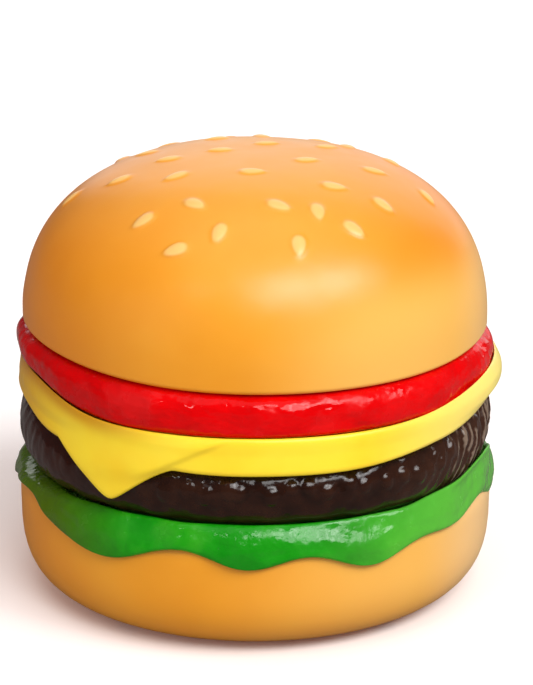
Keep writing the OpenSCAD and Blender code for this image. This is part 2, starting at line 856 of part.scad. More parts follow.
module earpiece_panel() {
    color("#E9D3A6") difference() {
        union() {
            difference() {
                rod(panel_r, panel_z0, panel_z1);
                translate([0, 0, panel_z0 - 1]) linear_extrude(4) ear_slots();
            }
            translate([0, ear_y, 0]) ring(ear_r + 0.3, ear_r + 1.7, panel_z1 - eps, seat_z);
            translate([0, ear_y, 0]) clamp_places() rod(2.6, panel_z1 - eps, seat_z);
            four(lid_screw_x, lid_screw_y) rod(4.6, panel_z1 - eps, boss_z);
            translate([hook_x, hook_y, 0]) rod(2.4, panel_z0 - 1.6, panel_z0 + eps);
            translate([-barrel_half, 50, panel_z0]) cube([2 * barrel_half, 16.5, 2.2]);
            translate([-barrel_half, 58, hinge_z - 3.9]) cube([2 * barrel_half, 8.5, 6]);
            hinge_turn() cylinder(r = knuckle_r, h = 2 * barrel_half, center = true);
        }
        four(lid_screw_x, lid_screw_y) {
            rod(1.5, panel_z0 - 1, boss_z + 1);
            rod(3.1, panel_z0 - 1, panel_z0 + 3);
        }
        translate([0, ear_y, 0]) clamp_places() rod(1.15, panel_z1 + 0.6, seat_z + 1);
        knuckle_bore(pin_r + pin_gap);
    }
}

module clamp_places() {
    for (a = [90, 210, 330]) rotate([0, 0, a]) translate([22, 0, 0]) children();
}

module earpiece_cloth() {
    color("#202022") translate([0, ear_y, 0]) rod(ear_r, panel_z1, panel_z1 + 0.3);
}

module earpiece_cone() {
    z = panel_z1 + 0.3;
    color("#3A3530") translate([0, ear_y, 0]) rotate_extrude()
        polygon([[0, z + 4.6], [3.6, z + 3.6], [12.6, z], [14.1, z], [14.1, z + 0.4],
            [12.9, z + 0.4], [3.8, z + 4.1], [0, z + 5.1]]);
}

module earpiece_frame() {
    z = panel_z1 + 0.3;
    back = seat_z + 6;
    color("#8C8F94") translate([0, ear_y, 0]) difference() {
        rotate_extrude() polygon([[14.2, z], [18, z], [18, seat_z], [15.4, seat_z],
            [11, back], [0, back], [0, back - 1.2], [9.8, back - 1.2], [14.2, seat_z - 1]]);
        for (a = [0 : 60 : 359])
            translate([12.6 * cos(a), 12.6 * sin(a), 0]) rod(1.1, seat_z - 0.5, back + 1);
    }
}

module earpiece_magnet() {
    color("#55585C") translate([0, ear_y, 0]) {
        rod(8.5, seat_z + 6, seat_z + 11);
        rod(6, seat_z + 10.9, seat_z + 12);
    }
}

module earpiece_clamp() {
    color("#B9BCC0") translate([0, ear_y, seat_z]) difference() {
        union() {
            cylinder(r = 18.2, h = 1.2);
            for (a = [90, 210, 330]) rotate([0, 0, a]) {
                translate([22, 0, 0]) cylinder(r = 2.6, h = 1.2);
                translate([15, -2.6, 0]) cube([7, 5.2, 1.2]);
            }
        }
        translate([0, 0, -1]) cylinder(r = 15.8, h = 4);
        clamp_places() rod(1.3, -1, 3);
    }
}

module clamp_screws() {
    color("#B9BCC0") translate([0, ear_y, 0]) clamp_places() {
        rod(2.2, seat_z + 1.2, seat_z + 2.6);
        rod(1.1, seat_z - 1.6, seat_z + 1.3);
    }
}

module lid_screws() {
    color("#B9BCC0") four(lid_screw_x, lid_screw_y) {
        rod(2.8, panel_z0 + 1, panel_z0 + 3);
        rod(1.25, panel_z0 + 2.9, panel_z0 + 17.8);
    }
}

module screw_plugs() {
    color("#E9D3A6") four(lid_screw_x, lid_screw_y) rod(3.05, panel_z0 + 0.1, panel_z0 + 1);
}

module lid_wire() {
    color("#B3262A") wire(ear_route);
}

module bumpers() {
    color("#3B3B3D") for (s = [-1, 1])
        translate([s * bumper_x, bumper_y, 0]) rod(2.5, deck_top + 0.1, panel_z0);
}

bottom_bun();
foot_ring();
lettuce();
patty();
cheese();
keypad_panel();
rubber_keypad();
main_board();
dial_chip();
capacitors();
transistors();
resistors();
resonator();
ringer();
microphone();
mic_boot();
hook_switch();
hook_spring();
hook_plunger();
line_jack();
jack_contacts();
tone_switch();
tone_slider();
ringer_switch();
ringer_slider();
ballast_plate();
base_screws();
board_screws();
hinge_pin();
base_wires();
key(0, 0, key_d);  // key_1
key(1, 0, key_d);  // key_2
key(2, 0, key_d);  // key_3
key(0, 1, key_d);  // key_4
key(1, 1, key_d);  // key_5
key(2, 1, key_d);  // key_6
key(0, 2, key_d);  // key_7
key(1, 2, key_d);  // key_8
key(2, 2, key_d);  // key_9
key(0, 3, key_d);  // key_star
key(1, 3, key_d);  // key_0
key(2, 3, key_d);  // key_hash
key(0, 4, func_d);  // key_redial
key(1, 4, func_d);  // key_flash
key(2, 4, func_d);  // key_mute
top_bun();
tomato();
earpiece_panel();
earpiece_cloth();
earpiece_cone();
earpiece_frame();
earpiece_magnet();
earpiece_clamp();
clamp_screws();
lid_screws();
screw_plugs();
lid_wire();
bumpers();
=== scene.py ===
# Flip-open hamburger telephone: moulded plastic food shells round a keypad and an earpiece.
import math

import bmesh
import bpy
import numpy as np
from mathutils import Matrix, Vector


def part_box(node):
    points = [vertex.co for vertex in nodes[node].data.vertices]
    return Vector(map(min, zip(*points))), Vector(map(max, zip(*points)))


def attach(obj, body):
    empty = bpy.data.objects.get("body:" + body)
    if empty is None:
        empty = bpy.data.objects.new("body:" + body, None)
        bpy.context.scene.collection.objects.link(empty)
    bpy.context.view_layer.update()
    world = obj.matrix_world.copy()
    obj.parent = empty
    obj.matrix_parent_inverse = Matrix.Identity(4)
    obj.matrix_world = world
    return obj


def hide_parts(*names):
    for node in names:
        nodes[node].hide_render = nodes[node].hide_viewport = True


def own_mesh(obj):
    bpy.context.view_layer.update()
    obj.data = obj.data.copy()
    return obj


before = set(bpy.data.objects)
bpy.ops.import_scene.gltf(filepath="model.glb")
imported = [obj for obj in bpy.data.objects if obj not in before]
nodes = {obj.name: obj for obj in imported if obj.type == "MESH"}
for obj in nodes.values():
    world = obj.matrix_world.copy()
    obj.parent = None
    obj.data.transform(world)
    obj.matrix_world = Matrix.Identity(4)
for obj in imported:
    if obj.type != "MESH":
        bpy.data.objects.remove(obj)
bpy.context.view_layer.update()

mm = 0.001
keyNames = [name for name in nodes if name.startswith("key_")]
sameWithin, seamWithin, noEdge = 1e-7, 1e-6, 1e-8  # metres: points and edges that count as one
print("frame loaded:", len(nodes), "nodes")


# shared helpers: colour, shader nodes and grid surfaces

def hexColour(text):
    # sRGB to linear: v / 12.92 where dark, else ((v + 0.055) / 1.055)^2.4
    value = np.array([int(text[i:i + 2], 16) for i in (1, 3, 5)]) / 255
    linear = np.where(value <= 0.04045, value / 12.92, ((value + 0.055) / 1.055) ** 2.4)
    return (*linear.tolist(), 1.0)


def addNode(tree, kind, inputs=(), stops=(), **settings):
    # one node: an input takes a value, a socket, or a node whose first live output is linked
    node = tree.nodes.new("ShaderNode" + kind)
    for name, value in settings.items():
        setattr(node, name, value)
    for name, value in dict(inputs).items():
        if isinstance(value, bpy.types.Node):
            value = next(output for output in value.outputs if output.enabled)
        if isinstance(value, bpy.types.NodeSocket):
            tree.links.new(value, node.inputs[name])
        else:
            node.inputs[name].default_value = value
    if stops:
        marks = node.color_ramp.elements
        for mark, (position, text) in zip((marks[0], marks[1]), (stops[0], stops[-1])):
            mark.position, mark.color = position, hexColour(text)
        for position, text in stops[1:-1]:
            marks.new(position).color = hexColour(text)
    return node


def emptyTree(owner):
    # the nodes of a material or world, cleared for new ones
    owner.use_nodes = True
    owner.node_tree.nodes.clear()
    return owner.node_tree


def perMetre(millimetres):
    return 1 / (millimetres * mm)  # a texture's scale from the size of its grain


def makeFinish(name, s):
    # a Principled surface from one dictionary: patches of colour, tints by place or by mask,
    # uneven gloss, and layers of relief stacked from the coarse one to the fine one
    material = bpy.data.materials.new(name)
    tree = emptyTree(material)
    place = addNode(tree, "TexCoord").outputs["Object"]
    split = addNode(tree, "SeparateXYZ", {"Vector": place})
    patch = addNode(tree, "TexNoise", {"Vector": place, "Scale": perMetre(s["patch"]),
                                       "Detail": 3.0})
    colour = addNode(tree, "ValToRGB", {"Fac": patch}, s["colours"])
    for source, low, high, amount, text in s.get("tints", []):
        if source in ("X", "Y", "Z"):
            value, low, high = split.outputs[source], low * mm, high * mm
        else:
            value = addNode(tree, "Attribute", attribute_name=source).outputs["Fac"]
        share = addNode(tree, "MapRange", {
            "Value": value, "From Min": low, "From Max": high, "To Max": amount},
            interpolation_type="SMOOTHSTEP")
        colour = addNode(tree, "Mix", {0: share, 6: colour, 7: hexColour(text)}, data_type="RGBA")
    grain, low, high = s["gloss"]
    polished, dull = s.get("glossEdges", (0.3, 0.7))
    uneven = addNode(tree, "TexNoise", {"Vector": place, "Scale": perMetre(grain), "Detail": 4.0})
    rough = addNode(tree, "MapRange", {"Value": uneven, "From Min": polished,
                                       "From Max": dull, "To Min": low, "To Max": high})
    inputs = {**s.get("values", {}), "Base Color": colour, "Roughness": rough}
    for grain, height, *stretch in s.get("bumps", []):
        spread = addNode(tree, "Mapping", {"Vector": place, "Scale": stretch or (1, 1, 1)})
        field = addNode(tree, "TexNoise", {"Vector": spread, "Scale": perMetre(grain),
                                           "Detail": 2.0})
        relief = {"Height": field, "Distance": height * mm}
        if "Normal" in inputs:
            relief["Normal"] = inputs["Normal"]
        inputs["Normal"] = addNode(tree, "Bump", relief)
    surface = addNode(tree, "BsdfPrincipled", inputs)
    addNode(tree, "OutputMaterial", {"Surface": surface})
    return material


def placeObject(name, data):
    item = bpy.data.objects.new(name, data)
    bpy.context.collection.objects.link(item)
    return item


def shadeSmooth(mesh, sharpAngle=None):
    # smooth all over, creased where two faces meet at more than sharpAngle degrees
    mesh.polygons.foreach_set("use_smooth", np.ones(len(mesh.polygons), dtype=bool))
    if sharpAngle:
        mesh.set_sharp_from_angle(angle=math.radians(sharpAngle))


def gridMesh(name, points, loopRound=True, loopProfile=True, fields=None, sharpAngle=None):
    # points run round the object, then along the profile, in millimetres: each quad joins
    # (i, j) to the next ones, and a run that does not close round has a flat cap at each end
    rounds, steps = points.shape[:2]
    i = np.arange(rounds if loopRound else rounds - 1)[:, None]
    j = np.arange(steps if loopProfile else steps - 1)[None, :]
    nextI, nextJ = (i + 1) % rounds, (j + 1) % steps
    quads = np.stack([i * steps + j, nextI * steps + j, nextI * steps + nextJ,
                      i * steps + nextJ], axis=-1).reshape(-1, 4)
    flat = points.reshape(-1, 3) * mm
    ends = []
    if not loopRound:
        ends = [list(range(steps))[::-1], [(rounds - 1) * steps + k for k in range(steps)]]
    corner = flat[quads]
    # signed volume: each quad's corner dotted with its area vector
    area = np.cross(corner[:, 2] - corner[:, 0], corner[:, 3] - corner[:, 1])
    if (corner.mean(axis=1) * area).sum() < 0:
        quads = quads[:, ::-1]
        ends = [end[::-1] for end in ends]
    mesh = bpy.data.meshes.new(name)
    mesh.from_pydata(flat.tolist(), [], quads.tolist() + ends)
    for field, values in (fields or {}).items():
        layer = mesh.attributes.new(field, "FLOAT", "POINT")
        layer.data.foreach_set("value", np.ascontiguousarray(values, dtype=np.float32).ravel())
    work = bmesh.new()
    work.from_mesh(mesh)
    bmesh.ops.remove_doubles(work, verts=work.verts, dist=sameWithin)
    bmesh.ops.dissolve_degenerate(work, edges=work.edges, dist=noEdge)
    work.to_mesh(mesh)
    work.free()
    shadeSmooth(mesh, sharpAngle)
    return placeObject(name, mesh)


def finishPiece(piece, material, body, slot, *replaced):
    # gives a piece its finish, its body and the nodes that it stands for
    piece.data.materials.clear()
    piece.data.materials.append(material)
    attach(piece, body)
    if replaced:
        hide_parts(*replaced)


def along(points, count, weight=None):
    # points at even shares of a polyline's length, or closer together where weight is larger
    points = np.asarray(points, float)
    step = np.linalg.norm(np.diff(points, axis=0), axis=1)
    if weight is not None:
        step = step * weight(points[:-1])
    length = np.concatenate([[0], np.cumsum(step)])
    at = np.linspace(0, length[-1], count)
    return np.stack([np.interp(at, length, points[:, k]) for k in range(2)], axis=1)


def superCurve(r0, a, z0, b, power, count=400, inset=0.0):
    # r = r0 + a cos(t)^(2/power), z = z0 + b sin(t)^(2/power), moved inward by inset
    t = np.linspace(0, math.pi / 2, count)
    c, s = np.cos(t).clip(0), np.sin(t)
    normal = np.stack([c ** (2 - 2 / power) / a, s ** (2 - 2 / power) / b], axis=1)
    normal /= np.linalg.norm(normal, axis=1)[:, None]
    curve = np.stack([r0 + a * c ** (2 / power), z0 + b * s ** (2 / power)], axis=1)
    return curve - normal * inset


def cornerCut(sections, rounds):
    # Chaikin's corner cutting along each closed section
    for _ in range(rounds):
        after = np.roll(sections, -1, axis=1)
        sections = np.stack([0.75 * sections + 0.25 * after,
                             0.25 * sections + 0.75 * after], axis=2)
        sections = sections.reshape(sections.shape[0], -1, sections.shape[-1])
    return sections


def stacked(rows):
    # rows of (r, z) round the object, made one closed section for each azimuth
    return np.stack([np.stack(np.broadcast_arrays(*row), axis=-1) for row in rows], axis=1)


def turned(azimuth, r, z):
    # x = r sin(a), y = -r cos(a): azimuth in degrees from the front, positive towards +X
    a = np.radians(azimuth)
    return np.stack([r * np.sin(a), -r * np.cos(a), z + 0 * a], axis=-1)


def waves(azimuth, height, seed, count, turnsLow, turnsHigh, perMm):
    # a sum of seeded sines, sin(turns azimuth + slope height + phase), closed round the object;
    # a piece's settings hold seed, count, fewest and most turns, and steepest slope
    rng = np.random.default_rng(seed)
    wholeTurn = 6.283  # radians
    total = np.zeros(np.broadcast(azimuth, height).shape)
    for _ in range(count):
        turns = rng.integers(turnsLow, turnsHigh + 1)
        slope = rng.uniform(-perMm, perMm)
        phase = rng.uniform(0, wholeTurn)
        total += np.sin(np.radians(azimuth) * turns + height * slope + phase)
    return total / math.sqrt(count)


def wrapped(angle):
    # the same direction between -180 and 180 degrees
    return (angle + 540) % 360 - 180


def humps(azimuth, rows, power=3):
    # smooth swellings, height * exp(-|d / half|^power) for each (height, azimuth, half width)
    return sum(height * np.exp(-np.abs((azimuth - at) / half) ** power)
               for height, at, half in rows)


def eased(value, start=0.0, end=1.0):
    # 0 at start, 1 at end, and 3 v^2 - 2 v^3 between them
    value = np.clip((value - start) / (end - start), 0, 1)
    return value * value * (3 - 2 * value)


# camera and light

studio = {
    # the floor's glow and its tint are painted light: a faint warm emission, seen by the camera
    # alone, that tints the shadow
    "floorPaintedGlow": 0.12, "paintedBounceTint": "#ff9c78", "floorBounce": "#b9b5b4",
    "floorMirrored": "#777371", "floorSeen": "#ffffff", "skyLight": 0.33, "skyGloss": 0.08,
    # azimuth, elevation, apparent width in degrees, light on a surface that faces it
    "lamps": {"softbox, left": (14, 42, 26, 0.3), "softbox, middle": (37, 43, 26, 0.31),
              "softbox, right": (60, 42, 26, 0.3), "left fill": (-52, 12, 50, 0.18),
              "left spark": (-33, 41, 5, 0.03), "top fill": (0, 80, 60, 0.15),
              "rim card": (170, 20, 60, 0.25)},
    "fillOnly": ["left fill"],  # lights colour, and gloss does not show it
    "mirroredOnly": ["rim card"],  # shows in gloss alone, as a card behind the crown
    "floorHalf": 6.0}  # metres
camera = {
    "target": (0.0, 0.0, 55.0), "elevation": 18.0, "distance": 660.0,
    "focalPixels": 2497.3, "imageHeight": 685, "sensor": 36.0,
    "right": 11.3, "up": 32.6}  # how far the view's centre lies from the target, in pixels


def placeCamera():
    # it looks at the target from the front and above, turned aside by (right, up) / focal
    # length, and the sensor's width lies along the image's longer side, its height
    angle = math.radians(camera["elevation"])
    target = Vector(camera["target"]) * mm
    back = Vector((0, -math.cos(angle), math.sin(angle)))
    place = target + back * camera["distance"] * mm
    right = Vector((1, 0, 0))
    up = right.cross(-back)
    aim = -back + (right * camera["right"] + up * camera["up"]) / camera["focalPixels"]
    data = bpy.data.cameras.new("camera")
    data.lens = camera["focalPixels"] * camera["sensor"] / camera["imageHeight"]
    data.sensor_width = camera["sensor"]
    data.clip_start = 0.01
    view = placeObject("camera", data)
    view.location = place
    view.rotation_mode = "QUATERNION"
    view.rotation_quaternion = aim.to_track_quat("-Z", "Y")
    bpy.context.scene.camera = view


def softLamp(name, azimuth, elevation, width, level):
    # a far, wide lamp, so that the whole floor is lit evenly: level 1 shows a colour as written
    data = bpy.data.lights.new(name, "SUN")
    data.angle = math.radians(width)
    data.energy = level * math.pi
    lamp = placeObject(name, data)
    a, e = math.radians(azimuth), math.radians(elevation)
    towards = Vector((math.sin(a) * math.cos(e), -math.cos(a) * math.cos(e), math.sin(e)))
    lamp.location = towards
    lamp.rotation_mode = "QUATERNION"
    lamp.rotation_quaternion = (-towards).to_track_quat("-Z", "Y")
    lamp.visible_glossy = name not in studio["fillOnly"]
    lamp.visible_diffuse = name not in studio["mirroredOnly"]


def rayShare(tree, diffuse, glossy, seen):
    # one value for light, one for reflections, one for the camera and what it sees through
    path = addNode(tree, "LightPath")
    through = addNode(tree, "Math", {
        0: path.outputs["Is Camera Ray"], 1: path.outputs["Is Transmission Ray"]},
        operation="MAXIMUM")
    gloss = addNode(tree, "MapRange", {
        "Value": path.outputs["Is Glossy Ray"], "To Min": diffuse, "To Max": glossy})
    return addNode(tree, "MapRange", {"Value": through, "To Min": gloss, "To Max": seen})


def whiteStudio():
    # white paper: the camera sees it white and gloss sees it grey, so that grazing gloss keeps
    # its colour, and it keeps the shadow
    side = studio["floorHalf"]
    mesh = bpy.data.meshes.new("floor")
    mesh.from_pydata([(-side, -side, 0), (side, -side, 0), (side, side, 0), (-side, side, 0)],
                     [], [(0, 1, 2, 3)])
    floor = placeObject("floor", mesh)
    material = bpy.data.materials.new("white paper")
    tree = emptyTree(material)
    # paper that throws little light back up, so that the undersides stay deep
    path = addNode(tree, "LightPath")
    shade = hexColour(studio["floorSeen"])
    for ray, tone in (("Is Diffuse Ray", "floorBounce"), ("Is Glossy Ray", "floorMirrored")):
        shade = addNode(tree, "Mix", {0: path.outputs[ray], 6: shade,
                                      7: hexColour(studio[tone])}, data_type="RGBA")
    paper = addNode(tree, "BsdfDiffuse", {"Color": shade})
    # painted bounce light: a faint warm glow that the camera alone sees on the floor, so that the
    # shadow looks warm, as if lit by light off the orange shell
    paintedBounce = addNode(tree, "Emission", {
        "Color": hexColour(studio["paintedBounceTint"]),
        "Strength": rayShare(tree, 0.0, 0.0, studio["floorPaintedGlow"])})
    both = addNode(tree, "AddShader", {0: paper, 1: paintedBounce})
    addNode(tree, "OutputMaterial", {"Surface": both})
    floor.data.materials.append(material)

    world = bpy.data.worlds.new("studio")
    bpy.context.scene.world = world
    tree = emptyTree(world)
    sky = addNode(tree, "Background", {
        "Color": (1, 1, 1, 1), "Strength": rayShare(tree, studio["skyLight"],
                                                      studio["skyGloss"], 1.0)})
    addNode(tree, "OutputWorld", {"Surface": sky})
    for name, (azimuth, elevation, width, level) in studio["lamps"].items():
        softLamp(name, azimuth, elevation, width, level)


placeCamera()
whiteStudio()
bpy.context.scene.view_settings.view_transform = "Standard"
print("camera and studio placed")


# finishes: sizes in millimetres, colours as they look in plain light; a tint has its axis or
# mask, start, end, strength and colour; gloss has its grain, least and greatest roughness, and
# glossEdges how sharply it goes between them; a bump has its grain, height and stretch

finishes = {}

# ABS moulded in bun tan, then sprayed toasted orange: satin, with soft drifting tone
bunFinish = {
    "patch": 30, "colours": [(0.3, "#ee991a"), (0.52, "#f29f21"), (0.75, "#f4a62a")],
    "gloss": (9, 0.3, 0.36), "bumps": [(15, 0.22)],
    "values": {"IOR": 1.5, "Subsurface Weight": 0.05, "Subsurface Scale": 2 * mm,
               "Subsurface Radius": (1.0, 0.5, 0.2)}}
finishes["top_bun"] = makeFinish("sprayed bun ABS, upper", {**bunFinish, "tints": [
    # the first tint here, darker orange towards the left, is painted shade on the side away from
    # the key light
    ("X", -12, -60, 0.7, "#de7706"), ("X", 10, 45, 0.75, "#ef8904"),
    # the first tint here, paler towards the crown, is a painted sheen: the reflection of the light
    # from above
    # the masked tint on this line is painted light: paler low on the right
    ("Z", 92, 116, 0.35, "#e9a152"), ("paintedLight", 0.0, 1.0, 0.9, "#fabf5c"),
    # the first tint here, paler at the right edge, is a painted sheen from the lamps on the right
    ("X", 48, 61, 0.5, "#ffcf90"), ("seed", 0.0, 0.6, 0.75, "#fbc97a")]})
finishes["bottom_bun"] = makeFinish("sprayed bun ABS, lower", {**bunFinish, "tints": [
    # paler and yellower towards the right is painted light on the key lamp's side; darker towards
    # the left is painted shade
    ("X", -15, 45, 0.75, "#fbc060"), ("X", -30, -60, 0.5, "#e6861a"),
    # darker towards the bottom is painted shade; paler at the right edge is a painted sheen
    ("Z", 18, 2, 0.4, "#dc9322"), ("X", 40, 61, 0.6, "#ffd9a6"),
    # the brown band at the foot is a painted contact shadow
    ("Z", 4.5, 1, 0.6, "#8f4c12")]})

# high gloss ABS with the wet, lumpy skin of a slice of tomato
finishes["tomato"] = makeFinish("glossy tomato ABS", {
    "patch": 11, "colours": [(0.3, "#d20104"), (0.55, "#e00205"), (0.75, "#e60508")],
    # darker red towards the left is painted shade, away from the key light
    "tints": [("X", -15, -60, 0.6, "#a80002")],
    "gloss": (8, 0.06, 0.28), "glossEdges": (0.44, 0.56),
    "bumps": [(7, 1.2, 1, 1, 1.4), (1.8, 0.05)],
    "values": {"IOR": 1.33}})

# satin ABS, smooth and slightly waxy like processed cheese
finishes["cheese"] = makeFinish("satin cheese ABS", {
    "patch": 18, "colours": [(0.3, "#fdd024"), (0.55, "#fedb30"), (0.8, "#ffe13c")],
    # ochre at the left end is painted shade; the masked ochre after it is painted shade under the
    # tomato's overhang
    "tints": [("X", -40, -63, 0.7, "#d08502"), ("paintedOverhangShade", 0.0, 1.0, 0.85, "#c47d08"),
              # paler towards the right is a painted sheen
              ("X", 25, 62, 0.7, "#fce88c")],
    "gloss": (4, 0.28, 0.38), "bumps": [(9, 0.2)],
    "values": {"IOR": 1.4, "Subsurface Weight": 0.06, "Subsurface Scale": 2 * mm,
               "Subsurface Radius": (1.0, 0.7, 0.2)}})

# glossy dark brown ABS with the pebbled crust of fried mince
finishes["patty"] = makeFinish("glossy patty ABS", {
    "patch": 5, "colours": [(0.25, "#1a0a05"), (0.5, "#28120a"), (0.75, "#341b10")],
    # the lighter brown towards the right is a painted sheen, where the key light falls
    "tints": [("pebble", 0.3, 1.0, 0.15, "#3a1f13"), ("X", 25, 60, 0.5, "#4a3024"),
              # the crest tint on this line is a painted highlight: glints on the ridge tops
              ("X", -30, -60, 0.5, "#3d0f06"), ("crest", 0.25, 1.0, 0.75, "#8c7868")],
    "gloss": (3, 0.1, 0.2),
    "bumps": [(3.2, 0.2), (1.2, 0.03)],
    "values": {"IOR": 1.42}})

# glossy green ABS: smooth folds with crinkled patches that look wet
finishes["lettuce"] = makeFinish("glossy lettuce ABS", {
    "patch": 12, "colours": [(0.3, "#0e800e"), (0.52, "#189110"), (0.75, "#36a218")],
    # darker olive towards the left is painted shade, away from the key light; yellower green
    # towards the right is painted light
    "tints": [("X", -28, -56, 0.9, "#4e5c04"), ("X", 8, 60, 0.6, "#74c84a")],
    "gloss": (6, 0.08, 0.3),
    "bumps": [(6, 0.7, 1, 1, 0.8), (2.2, 0.2)],
    "values": {"IOR": 1.42, "Subsurface Weight": 0.04, "Subsurface Scale": 1.5 * mm,
               "Subsurface Radius": (0.3, 1.0, 0.3)}})


def sparkTextured(name, dark, light, grain=0.8, gloss=(0.42, 0.55), height=0.03):
    # moulded against a spark-eroded tool: an even fine grain and a soft sheen
    return makeFinish(name, {
        "patch": 9, "colours": [(0.35, dark), (0.5, dark), (0.65, light)],
        "gloss": (grain, *gloss), "bumps": [(grain, height)]})


def workedMetal(name, dark, light, grain, gloss, stretch=(1, 1, 1), height=0.01):
    # plated or drawn metal: clear reflections broken by fine tool marks
    return makeFinish(name, {
        "patch": 3, "colours": [(0.35, dark), (0.5, dark), (0.65, light)],
        "gloss": (grain, *gloss), "bumps": [(grain, height, *stretch)],
        "values": {"Metallic": 1.0}})


cream = sparkTextured("textured cream ABS", "#e9d4a6", "#ebd7ab")
keyBrown = sparkTextured("brown key ABS", "#43281b", "#543423", 0.6, (0.3, 0.4), 0.012)
padInk = sparkTextured("cream pad-printed ink", "#efe3c8", "#f7eed9", 0.4, (0.4, 0.5), 0.004)
blackNylon = sparkTextured("black moulded nylon", "#1a1a1c", "#29292c", 0.7, (0.38, 0.5))
offWhite = sparkTextured("off-white acetal", "#d3cfc4", "#e0ddd2", 0.7, (0.4, 0.5))
blackRubber = sparkTextured("black rubber", "#201f1e", "#2f2d2b", 1.1, (0.7, 0.85), 0.05)
zincSteel = workedMetal("bright zinc plated steel", "#a8abb0", "#c8cacd", 0.7, (0.22, 0.36))
redVinyl = sparkTextured("red wire vinyl", "#a01f23", "#bb2f31", 0.8, (0.3, 0.4), 0.01)
for material, names in (
        (cream, "keypad_panel earpiece_panel screw_plugs hook_plunger"),
        (blackRubber, "foot_ring mic_boot bumpers"), (redVinyl, "base_wires lid_wire"),
        (blackNylon, "dial_chip transistors ringer hook_switch line_jack tone_switch "
                     "ringer_switch"),
        (offWhite, "tone_slider ringer_slider"),
        (zincSteel, "base_screws board_screws hinge_pin earpiece_frame earpiece_clamp "
                    "clamp_screws lid_screws")):
    finishes.update(dict.fromkeys(names.split(), material))
for nodeName, *row in (
        ("rubber_keypad", "grey silicone rubber", "#838587", "#96989b", 1.0, (0.6, 0.75)),
        ("main_board", "green solder resist", "#245a30", "#347544", 1.5, (0.25, 0.35), 0.02),
        ("capacitors", "blue shrink sleeve", "#1c2a45", "#2a3b5c", 1.0, (0.2, 0.3), 0.01),
        ("resistors", "tan lacquer", "#b8925c", "#d0ab74", 0.6, (0.25, 0.35), 0.02),
        ("resonator", "amber epoxy dip", "#a87728", "#c6964a", 0.8, (0.2, 0.3)),
        ("earpiece_cloth", "black acoustic cloth", "#161616", "#262626", 0.45, (0.8, 0.95), 0.08),
        ("earpiece_cone", "dark cone film", "#2f2a25", "#453e37", 0.8, (0.4, 0.5))):
    finishes[nodeName] = sparkTextured(*row)
for nodeName, *row in (
        ("hook_spring", "spring wire", "#a5a7ab", "#c2c4c8", 0.5, (0.2, 0.3)),
        ("jack_contacts", "gold plated wire", "#c79d45", "#e3bf6c", 0.4, (0.16, 0.26)),
        ("microphone", "drawn aluminium can", "#9a9ca0", "#b9bbbf", 0.6, (0.28, 0.42), (1, 1, 0.1)),
        ("ballast_plate", "cast iron", "#5f6266", "#7e8185", 1.6, (0.5, 0.7), (1, 1, 1), 0.12),
        ("earpiece_magnet", "plated magnet cup", "#4a4d50", "#666a6e", 0.9, (0.3, 0.45))):
    finishes[nodeName] = workedMetal(*row)
for nodeName, node in nodes.items():
    node.data.materials.clear()
    node.data.materials.append(finishes.get(nodeName, keyBrown))
print("finishes made:", len(bpy.data.materials))


# top bun with its moulded seeds

topBun = {
    "radius": 60.8, "shoulder": 70.6, "crown": 116.0, "power": 2.5, "wall": 2.4,
    "lip": 59.0, "bottom": 69.2, "lipPower": 2.2, "rimIn": 2.2, "rimUp": 0.8,
    "rounds": 440, "curveSteps": 4000, "lipSteps": 14, "domeSteps": 190,
    "fineWithin": 52, "sideShare": 0.45,  # rows lie closer where most seeds are
    "sag": 0.12, "sagWaves": (3, 5, 2, 5, 0.03), "sagFrom": (8, 32), "sink": 0.06,
    # the next two keys set where the painted light, paler low on the right, lies
    "paintedLightRight": (-15, 40), "paintedLightBelow": (104, 80),
    "seam": [(3.2, -85, 50), (1.1, 80, 25)], "seamTop": 84.0,
    "seedLength": 6.9, "seedWidth": 3.9, "seedHeight": 0.55, "seedTaper": 0.28,
    "seedCrown": 0.75, "seedDeep": 3, "fillet": 0.12}
# azimuth, radius and heading of each seed
frontSeeds = [
    (-38, 44.5, -26), (-23, 37.5, 69), (-11, 45.5, -12), (-22.5, 50, -62), (9, 37, 56),
    (22.5, 40, -12), (31.5, 46, 33), (12.5, 48.5, -9), (38.5, 31.5, 51), (-2, 20, 89),
    (-47, 27, -19), (-73, 36, -18), (55, 16, 55), (50, 41.5, 6), (75, 31.5, 24),
    (-90, 9, 4), (-80, 22.5, -12), (-86, 47.5, 2), (77.5, 45, -40)]
rearSeeds = [
    (113, 20.3, 9), (122, 28.8, 33), (-108, 29.6, 5), (158, 8, -64), (176, 22, 30),
    (-150, 20, 80), (148, 33, -50), (-168, 34, 10), (-140, 36, 60), (-118, 40, -30),
    (105, 37, -70), (130, 43, 20), (158, 44, 75), (180, 46, -15), (-160, 47, 50),
    (-134, 47.5, 5)]


def domeHeight(r):
    # z = shoulder + (crown - shoulder) (1 - (r / radius)^power)^(1 / power)
    s = topBun
    return s["shoulder"] + (s["crown"] - s["shoulder"]) * (
        1 - (r / s["radius"]) ** s["power"]) ** (1 / s["power"])


